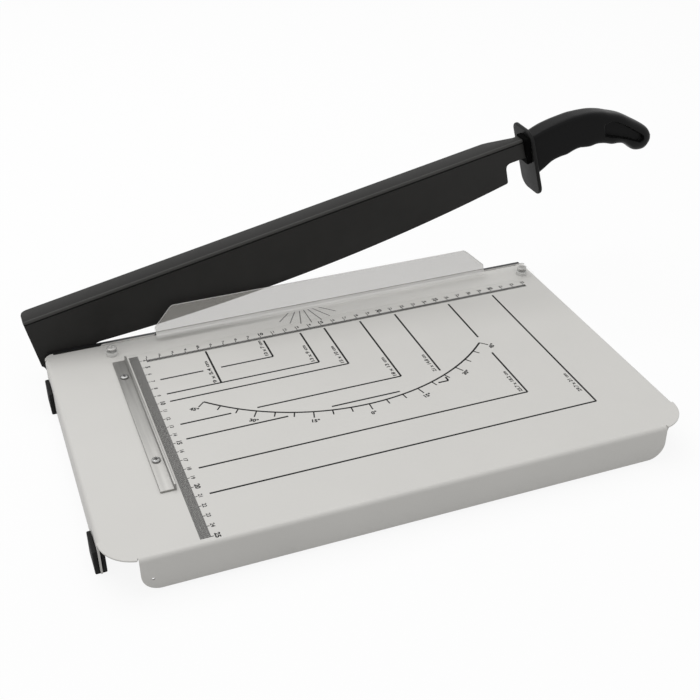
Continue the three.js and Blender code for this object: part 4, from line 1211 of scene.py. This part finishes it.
@dataclass
class Handle:
    """Hilt plate, near-black sleeve and moulded grip at the end of the arm. The sleeve's black is partly
    painted shade.
    """

    rise: float = ARM_TOP
    hilt_reach: float = 410.5
    hilt_thickness: float = 3.2
    hilt_width: float = 32.0
    hilt_tall: float = 60.5
    hilt_top: float = 5.79
    hilt_middle: float = 10.7
    hilt_edge: float = 1.2
    hilt_corners: tuple = (9.5, 7.0, 9.5, 9.5)
    lean: float = math.radians(2.8)
    sleeve_length: float = 4.6
    sleeve_top: float = 1.5
    sleeve_drop: float = 23.0
    sleeve_sides: tuple = (-5.0, -1.5, 11.2)
    sleeve_corner: float = 1.6
    sleeve_edge: float = 0.8
    grip_length: float = 110.92
    grip_drop: float = 57.0
    grip_top: float = 5.98
    grip_half: float = 11.2
    grip_rings: int = 210
    grip_sides: int = 150
    middle: float = 7.0
    near_squareness: tuple = ((0, 9), (0.35, 7.5), (0.6, 4.2), (0.85, 2.8), (1, 2.4))
    far_squareness: float = 2.5
    pocket_depth: float = 5.5
    pocket_ends: tuple = (0.577, 0.911)
    screw: Fastener = Fastener(2.0, 16.0, 3.0, 1.8, 1.2)
    screw_places: tuple = ((1, 21.0), (2, 38.0))
    screw_rise: float = 33.6
    seat_radius: float = 3.3
    seat_sink: float = 3.0
    soft: float = 0.3
    top_line: tuple = (
        (0, 0.086), (0.1, 0.042), (0.2, 0.022), (0.3, 0.018), (0.37, 0.023), (0.5, 0.065),
        (0.59, 0.124), (0.655, 0.187), (0.76, 0.299), (0.866, 0.466), (0.94, 0.594), (0.975, 0.673),
        (1, 0.786))
    bottom_line: tuple = (
        (0, 0.7), (0.05, 0.655), (0.12, 0.588), (0.19, 0.567), (0.25, 0.568), (0.31, 0.545),
        (0.36, 0.541), (0.4, 0.563), (0.45, 0.587), (0.51, 0.592), (0.575, 0.633), (0.645, 0.702),
        (0.7, 0.728), (0.745, 0.768), (0.785, 0.84), (0.825, 0.925), (0.87, 0.97), (0.925, 0.98),
        (0.965, 0.93), (0.99, 0.865), (1, 0.825))
    width_line: tuple = ((0, 0.92), (0.15, 0.98), (0.4, 1), (0.7, 0.97), (0.9, 0.86), (0.97, 0.66), (1, 0.3))
    pocket_top: tuple = (
        (0.58, 0.32), (0.64, 0.3), (0.69, 0.35), (0.74, 0.425), (0.79, 0.5), (0.84, 0.59),
        (0.882, 0.668), (0.912, 0.735))
    pocket_bottom: tuple = (
        (0.575, 0.49), (0.624, 0.542), (0.683, 0.592), (0.733, 0.644), (0.784, 0.696),
        (0.835, 0.76), (0.878, 0.805), (0.908, 0.795))

    def leaning(self, shell: Shell) -> Shell:
        """Leans a shell back by tan(lean) for each millimetre above the hilt's middle."""
        middle = self.rise + self.hilt_top - self.hilt_tall / 2
        points = shell.points.copy()
        points[:, 0] -= math.tan(self.lean) * (points[:, 2] - middle)
        return replace(shell, points=points)

    def hilt(self) -> Shell:
        """Hilt plate with three wide corners, one tighter corner and round edges."""
        far, near = self.hilt_middle + self.hilt_width / 2, self.hilt_middle - self.hilt_width / 2
        top = self.rise + self.hilt_top
        low = top - self.hilt_tall
        corners = [(far, low), (far, top), (near, top), (near, low)]
        outline, start = soft_outline(corners, self.hilt_corners, steps=14), self.hilt_reach
        return self.leaning(swept(
            outline, start, start + self.hilt_thickness, Axis.X, self.hilt_edge, steps=7))

    def sleeve(self) -> Shell:
        """Sleeve round the tang in front of the hilt plate."""
        top, low = self.rise + self.sleeve_top, self.rise - self.sleeve_drop
        near_top, near_low, far = self.sleeve_sides
        corners = [(near_top, top), (near_low, low), (far, low), (far, top)]
        outline = soft_outline(corners, self.sleeve_corner)
        end = self.hilt_reach - GAP
        return self.leaning(swept(outline, end - self.sleeve_length, end, Axis.X, self.sleeve_edge))

    def grip(self) -> Shell:
        """Moulded grip with its finger grooves, its near recess and its two screw seats.

        Each ring is a squared oval: Y = middle + w sgn(cos a) |cos a|^(2/n) and
        rise = (t + b) / 2 + (t - b) / 2 sgn(sin a) |sin a|^(2/n), where t, b and w follow the top,
        bottom and width lines. Inside a recess Y moves to the recess floor by an eased share of the
        distance from its outline.

        Returns:
            The closed shell.
        """
        share = np.sin(np.linspace(0, np.pi / 2, self.grip_rings))[:, None]
        angle = np.linspace(0, 2 * np.pi, self.grip_sides, endpoint=False)[None, :]
        head = self.rise + self.grip_top
        top = head - self.grip_drop * blended(self.top_line, share)
        bottom = head - self.grip_drop * blended(self.bottom_line, share)
        wide = self.grip_half * blended(self.width_line, share)
        c, s = np.cos(angle), np.sin(angle)
        power = np.where(c < 0, 2 / blended(self.near_squareness, share), 2 / self.far_squareness)
        across = self.middle + wide * np.sign(c) * np.abs(c) ** power
        height = (top + bottom) / 2 + (top - bottom) / 2 * np.sign(s) * np.abs(s) ** power
        start = self.hilt_reach + self.hilt_thickness + GAP
        lean = -math.tan(self.lean) * (height - self.rise - self.hilt_top + self.hilt_tall / 2)
        reach = start + self.grip_length * share + lean * (1 - share)
        along = (reach - start) / self.grip_length
        down = (head - height) / self.grip_drop
        first, last = self.pocket_ends
        inside = np.minimum(
            np.minimum(down - blended(self.pocket_top, along), blended(self.pocket_bottom, along) - down)
            * self.grip_drop,
            np.minimum(along - first, last - along) * self.grip_length)
        floor = self.middle - self.grip_half + self.pocket_depth
        across = across + np.maximum(floor - across, 0) * eased(inside + self.soft) * (c < 0)
        seat = self.middle + self.grip_half - self.seat_sink
        for _, place in self.screw_places:
            distance = np.hypot(reach - start - place, height - self.screw_rise)
            round_seat = eased((self.seat_radius + self.soft - distance) / (2 * self.soft))
            across = across - np.maximum(across - seat, 0) * round_seat * (c > 0)
        return skin(np.stack([reach, across, height], axis=-1))

    def build(self, shop: Workshop) -> None:
        """Makes the hilt, the sleeve, the grip and the two grip screws."""
        for name, shell, finish, slot, node, sharp in (
            ("rounded_hilt", self.hilt(), "hilt", Slot.GRIP, "hilt_plate", 35.0),
            # The sleeve's near-black is partly painted shade.
            ("black_sleeve_and_shade", self.sleeve(), "sleeve", Slot.RUBBER, "tang_sleeve", 35.0),
            ("moulded_grip", self.grip(), "grip", Slot.GRIP, "grip_body", 50.0),
        ):
            shop.piece(name, shell, finish, slot, Body.ARM, (node,), sharp)
        start = self.hilt_reach + self.hilt_thickness + GAP
        seat = self.middle + self.grip_half - self.seat_sink + GAP
        for index, place in self.screw_places:
            shop.fixing(
                f"grip_fixing_{index}", f"grip_screw_{index}", self.screw.shell(),
                (start + place, seat, self.screw_rise), Axis.Y, body=Body.ARM)


@dataclass
class Prints:
    """Rulers, paper-size lines, the angle scale and their figures, printed on the table top.

    Print places are centimetres from the rulers' zero, which left and cut place in millimetres: x to
    the right, and y negative toward the user. A kind of figure is given by its height and by how much
    its strokes are widened, in millimetres.
    """

    left: float = 62.0
    cut: float = 2.0
    height: float = 0.03
    font_share: float = 1.38
    fifth_figure: tuple = (3.5, 0.2)
    small_figure: tuple = (2.75, 0.1)
    size_figure: tuple = (2.9, 0.12)
    angle_figure: tuple = (3.4, 0.22)
    line: float = 1.5
    top_line: float = -4.152
    top_tick: float = 0.34
    top_tall: float = -3.74
    top_widths: tuple = (0.68, 0.5, 0.55)
    top_figures: tuple = (0.07, -3.61, -3.58)
    last_top: int = 33
    band: tuple = (-0.24, 0.455)
    band_y: tuple = (-3.28, -25.0)
    left_tall: float = 0.62
    left_widths: tuple = (0.69, 0.6)
    left_figures: tuple = (0.8, 0.85)
    left_numbers: tuple = (4, 25)
    line_shift: float = 0.063
    across: tuple = (
        ((1.34, -9), (13, -9)), ((1.31, -7), (4.57, -7)), ((5.92, -7), (10, -7)), ((1.34, -10), (15, -10)),
        ((1.37, -13), (5.03, -13)), ((6.94, -13), (18, -13)), ((1.35, -14.8), (8.66, -14.8)),
        ((11.92, -14.8), (17.14, -14.8)), ((20.2, -14.8), (21, -14.8)), ((1.35, -18.2), (25.7, -18.2)),
        ((1.35, -21), (29.7, -21)))
    down: tuple = (
        ((5.4, -4.42), (5.4, -9)), ((10, -4.55), (10, -7)), ((13, -4.5), (13, -9)), ((15, -4.5), (15, -10)),
        ((18, -4.55), (18, -13)), ((21, -4.55), (21, -13.37)), ((21, -14.3), (21, -14.8)),
        ((25.7, -4.65), (25.7, -10.15)), ((25.7, -12.54), (25.7, -18.2)), ((29.7, -4.65), (29.7, -21)))
    sizes: tuple = (
        ("9 x 5.4 cm", 5.4, -8.83, -5.78), ("10 x 7 cm", 10.0, -6.75, -4.5), ("13 x 9 cm", 13.0, -8.8, -6.4),
        ("15 x 10 cm", 15.0, -9.78, -7.3), ("18 x 13 cm", 18.0, -12.83, -10.2),
        ("21 x 14.8 cm", 21.0, -13.3, -10.9), ("25.7 x 18.2 cm", 25.7, -17.97, -15.2),
        ("29.7 x 21 cm", 29.7, -19.5, -17.07))
    size_inset: float = 0.31
    angle_centre: tuple = (14.56, 0.0)
    angle_radius: float = 15.45
    angle_ticks: tuple = (0.72, 0.55, 1.0)
    angle_figures: tuple = (
        ("45°", -30, (2.78, -11.6)), ("30°", -30, (6.33, -14.41)), ("15°", -15, (10.33, -16.02)),
        ("0°", 0, (14.5, -16.59)), ("15°", 15, (18.85, -16.0)), ("30°", 30, (22.75, -14.3)),
        ("45°", 45, (26.2, -11.67)))
    fan_centre: tuple = (14.45, 0.05)
    fan_start: float = 1.1
    fan_radius: float = 3.36
    fan_width: float = 0.9

    def on_table(self, flat: np.ndarray) -> np.ndarray:
        """Print places in centimetres to X and Y in millimetres."""
        return flat * 10.0 + np.array([self.left, self.cut])

    def strokes(self, starts: np.ndarray, ends: np.ndarray, width: float) -> Shell:
        """Thin flat bars between pairs of print places.

        Each bar's corners are its ends shifted by half its width along the normal, at two heights.

        Args:
            starts: Print places of the bars' starts.
            ends: Print places of their ends.
            width: Width in millimetres.

        Returns:
            One shell of all the bars.
        """
        a, b = self.on_table(np.asarray(starts, float)), self.on_table(np.asarray(ends, float))
        run = b - a
        side = np.stack([-run[:, 1], run[:, 0]], axis=1)
        side *= width / 2 / np.linalg.norm(run, axis=1, keepdims=True)
        corners = np.stack([a - side, b - side, b + side, a + side], axis=1)
        low = np.concatenate([corners, np.full((*corners.shape[:2], 1), TABLE_TOP - self.height)], axis=2)
        high = low + np.array([0, 0, 2 * self.height])
        points = np.concatenate([low, high], axis=1).reshape(-1, 3)
        box = np.array([
            [0, 3, 2, 1], [4, 5, 6, 7], [0, 1, 5, 4], [1, 2, 6, 5], [2, 3, 7, 6], [3, 0, 4, 7]])
        quads = (box[None] + 8 * np.arange(len(a))[:, None, None]).reshape(-1, 4)
        return Shell(points, quads, ())

    def ticks(self, places: np.ndarray, low: float, high: float, width: float, swap: int = 1) -> Shell:
        """Bars from low to high at places along the top ruler, or with swap -1 along the left one."""
        starts, ends = (
            np.stack([places, np.full(len(places), end)], axis=1)[:, ::swap] for end in (low, high))
        return self.strokes(starts, ends, width)

    def figures(self, labels: list, turn: float, size: float, bold: float) -> Shell:
        """Figures printed on the table top.

        Args:
            labels: Text, print place of its middle and, where it has one, its length in centimetres.
            turn: Angle of the line of writing in degrees.
            size: Height of the letters in millimetres.
            bold: How much the strokes are widened, in millimetres.

        Returns:
            One shell of all the figures.
        """
        cosine, sine = math.cos(math.radians(turn)), math.sin(math.radians(turn))
        shells = []
        for text, place, *span in labels:
            curve = bpy.data.curves.new("figure", "FONT")
            curve.body, curve.size = text, size * self.font_share
            curve.align_x, curve.align_y = "CENTER", "CENTER"
            curve.extrude, curve.offset, curve.resolution_u = self.height, bold, 3
            letter = linked("figure", curve)
            mesh = worked_out(letter)
            bpy.data.objects.remove(letter)
            points = np.zeros(len(mesh.vertices) * 3)
            mesh.vertices.foreach_get("co", points)
            x, y, z = points.reshape(-1, 3).T
            x = x * (span[0] * 10 / np.ptp(x) if span else 1.0)
            middle = self.on_table(np.array([place]))[0]
            placed = np.stack([
                middle[0] + x * cosine - y * sine, middle[1] + x * sine + y * cosine, TABLE_TOP + z], axis=1)
            caps = tuple(np.array(face.vertices[:]) for face in mesh.polygons)
            shells.append(Shell(placed, np.zeros((0, 4), int), caps))
        return gathered(shells)

    def ruler_figures(self, labels: list, turn: float) -> list:
        """Figures of a ruler, those of each fifth centimetre larger and bolder."""
        fifth = [label for label in labels if int(label[0]) % 5 == 0]
        between = [label for label in labels if int(label[0]) % 5]
        return [
            self.figures(fifth, turn, *self.fifth_figure), self.figures(between, turn, *self.small_figure)]

    def top_ruler(self) -> list:
        """Centimetre ruler along the cut: close millimetre ticks, longer centimetre ticks and figures."""
        marks = np.arange(10, self.last_top * 10 + 2) / 10
        low, high = self.top_line - self.top_tick / 2, self.top_line + self.top_tick / 2
        fine, base, tall = self.top_widths
        whole = np.arange(1, self.last_top + 1)
        aside, small, large = self.top_figures
        labels = [(str(n), (n + aside, small if n % 5 else large)) for n in whole]
        return [
            self.ticks(marks, low, high, fine),
            self.strokes([[1.0, self.top_line]], [[self.last_top + 0.1, self.top_line]], base),
            self.ticks(whole, low, self.top_tall, tall), *self.ruler_figures(labels, 0)]

    def left_ruler(self) -> list:
        """Ruler down the left: a hatched band of millimetre ticks, centimetre ticks and figures."""
        left, right = self.band
        marks = np.arange(round(self.band_y[0] * 10), round(self.band_y[1] * 10) - 1, -1) / 10
        fine, tall = self.left_widths
        whole = np.arange(self.left_numbers[0], self.left_numbers[1] + 1)
        small, large = self.left_figures
        labels = [(str(n), (small if n % 5 else large, -n)) for n in whole]
        return [
            self.ticks(marks, left, right, fine, -1), self.ticks(-whole, right, self.left_tall, tall, -1),
            *self.ruler_figures(labels, -90)]

    def size_lines(self) -> list:
        """Paper-size corners with the gaps that leave room for the figures, and the figures."""
        lines = np.array(self.across + self.down) + np.array([self.line_shift, 0.0])
        labels = [
            (text, (x - self.size_inset, (low + high) / 2), high - low) for text, x, low, high in self.sizes]
        return [
            self.strokes(lines[:, 0], lines[:, 1], self.line), self.figures(labels, 90, *self.size_figure)]

    def angle_scale(self) -> list:
        """Arc from 45 degrees left to 45 degrees right with ticks outward and its figures."""
        centre = np.array(self.angle_centre)
        arc = centre + self.angle_radius * rays(np.radians(np.linspace(-45, 45, 61)))
        marks = np.arange(-45, 46, 5)
        out = rays(np.radians(marks))
        long, short, width = self.angle_ticks
        length = np.where(marks % 15 == 0, long, short)[:, None]
        ticks = self.strokes(
            centre + self.angle_radius * out, centre + (self.angle_radius + length) * out, width)
        figures = [
            self.figures([(text, place)], turn, *self.angle_figure)
            for text, turn, place in self.angle_figures]
        return [self.strokes(arc[:-1], arc[1:], self.line), ticks, *figures]

    def fan_lines(self) -> list:
        """Rays under the guard from close to the centre of the angle scale."""
        angle = np.radians(np.arange(-45, 46, 15))
        ray, centre = rays(angle), np.array(self.fan_centre)
        start = (self.fan_start / np.cos(angle))[:, None]
        return [self.strokes(centre + start * ray, centre + self.fan_radius * ray, self.fan_width)]

    def build(self, shop: Workshop) -> None:
        """Makes the five prints."""
        for name, shells, finish in (
            ("top_ruler_print", self.top_ruler(), "ink"), ("left_ruler_print", self.left_ruler(), "ink"),
            ("size_line_print", self.size_lines(), "ink"), ("angle_scale_print", self.angle_scale(), "ink"),
            ("fan_print", self.fan_lines(), "grey_ink"),
        ):
            shop.piece(name, gathered(shells), finish, Slot.BLACK)


@dataclass(frozen=True)
class PhotoCamera:
    """Camera that stands where the photograph was taken."""

    eye: tuple = (-0.29538, -0.65424, 0.49329)
    azimuth: float = math.radians(-20.491)
    elevation: float = math.radians(32.394)
    roll: float = math.radians(-0.472)
    field: float = math.radians(34.27)

    def build(self) -> None:
        """Makes the camera from its eye point and its three angles."""
        back = np.array([
            math.sin(self.azimuth) * math.cos(self.elevation),
            -math.cos(self.azimuth) * math.cos(self.elevation), math.sin(self.elevation)])
        level = np.array([math.cos(self.azimuth), math.sin(self.azimuth), 0.0])
        upright = np.cross(back, level)
        right = math.cos(self.roll) * level + math.sin(self.roll) * upright
        data = bpy.data.cameras.new("photo_camera")
        data.sensor_fit = "HORIZONTAL"
        data.angle = self.field
        data.clip_start, data.clip_end = 0.01, 50.0
        camera = linked("photo_camera", data)
        camera.matrix_world = aimed(right, np.cross(back, right), back, self.eye)
        bpy.context.scene.camera = camera


@dataclass(frozen=True)
class Lamp:
    """Square soft lamp that looks at a point near the middle of the object."""

    name: str
    place: tuple
    size: float
    power: float
    target: tuple = (0.0, 0.0, 0.03)

    def build(self) -> None:
        """Makes the lamp and turns its face toward the target."""
        data = bpy.data.lights.new(self.name, "AREA")
        data.size, data.energy = self.size, self.power
        away = np.array(self.place) - np.array(self.target)
        away /= np.linalg.norm(away)
        side = np.cross([0.0, 1.0, 0.0], away)
        side /= np.linalg.norm(side)
        linked(self.name, data).matrix_world = aimed(side, np.cross(away, side), away, self.place)


@dataclass(frozen=True)
class Studio:
    """White floor, even light all round and two soft lamps."""

    surround: float = 0.55
    floor_size: float = 6.0
    floor_height: float = -0.0002
    floor_white: float = 0.9
    floor_bounce: float = 0.62
    floor_share: float = 0.9
    lamps: tuple = (
        Lamp("key_lamp", (-0.3, 0.5, 1.5), 1.5, 14.0),
        Lamp("front_lamp", (0.4, -1.3, 0.9), 1.0, 1.5),
    )

    def seen(self, tree: bpy.types.NodeTree) -> bpy.types.NodeSocket:
        """One for rays of the camera, of a gloss and through clear material, and otherwise zero."""
        path = tree.nodes.new("ShaderNodeLightPath")
        seen = path.outputs["Is Camera Ray"]
        for output in ("Is Glossy Ray", "Is Transmission Ray"):
            larger = tree.nodes.new("ShaderNodeMath")
            larger.operation = "MAXIMUM"
            tree.links.new(seen, larger.inputs[0])
            tree.links.new(path.outputs[output], larger.inputs[1])
            seen = larger.outputs["Value"]
        return seen

    def world(self) -> None:
        """Even surround that the camera and reflections see as white."""
        world = bpy.data.worlds.new("studio_world")
        world.use_nodes = True
        background = world.node_tree.nodes["Background"]
        background.inputs["Color"].default_value = (1.0, 1.0, 1.0, 1.0)
        strength = world.node_tree.nodes.new("ShaderNodeMapRange")
        strength.inputs["To Min"].default_value = self.surround
        strength.inputs["To Max"].default_value = 1.0
        world.node_tree.links.new(self.seen(world.node_tree), strength.inputs["Value"])
        world.node_tree.links.new(strength.outputs["Result"], background.inputs["Strength"])
        bpy.context.scene.world = world

    def floor(self) -> None:
        """White floor that keeps the object's shadow and throws little light up at its sides."""
        half = self.floor_size / 2
        corners = [(x * half, y * half, self.floor_height) for x, y in ((-1, -1), (1, -1), (1, 1), (-1, 1))]
        mesh = bpy.data.meshes.new("studio_floor")
        mesh.from_pydata(corners, [], [(0, 1, 2, 3)])
        floor = linked("studio_floor", mesh)
        material = bpy.data.materials.new("studio_floor")
        material.use_nodes = True
        nodes, links = material.node_tree.nodes, material.node_tree.links
        nodes.remove(nodes["Principled BSDF"])
        white, bounce = nodes.new("ShaderNodeBsdfDiffuse"), nodes.new("ShaderNodeBsdfDiffuse")
        white.inputs["Color"].default_value = (*[self.floor_white] * 3, 1.0)
        bounce.inputs["Color"].default_value = (*[self.floor_bounce] * 3, 1.0)
        glow = nodes.new("ShaderNodeEmission")
        lit, mix = nodes.new("ShaderNodeMixShader"), nodes.new("ShaderNodeMixShader")
        lit.inputs["Fac"].default_value = self.floor_share
        links.new(white.outputs["BSDF"], lit.inputs[1])
        links.new(glow.outputs["Emission"], lit.inputs[2])
        links.new(self.seen(material.node_tree), mix.inputs["Fac"])
        links.new(bounce.outputs["BSDF"], mix.inputs[1])
        links.new(lit.outputs["Shader"], mix.inputs[2])
        links.new(mix.outputs["Shader"], nodes["Material Output"].inputs["Surface"])
        floor.data.materials.append(material)

    def build(self) -> None:
        """Makes the world, the floor and the lamps."""
        self.world()
        self.floor()
        for lamp in self.lamps:
            lamp.build()
        bpy.context.scene.view_settings.view_transform = "Standard"


def main() -> None:
    """Builds every sub-assembly in order."""
    logging.basicConfig(level=logging.INFO, format="%(name)s: %(message)s")
    shop = Workshop(Placement.from_frame())
    PhotoCamera().build()
    parts = (
        TableSheet(), Feet(), PaperStop(), BladeGuard(), Fixings(), Pivot(), BladeArm(), Handle(), Prints())
    for part in parts:
        part.build(shop)
    for node in ("bed_knife", "pivot_bracket"):
        shop.dress(node, "knife")
    Studio().build()


if __name__ == "__main__":
    main()
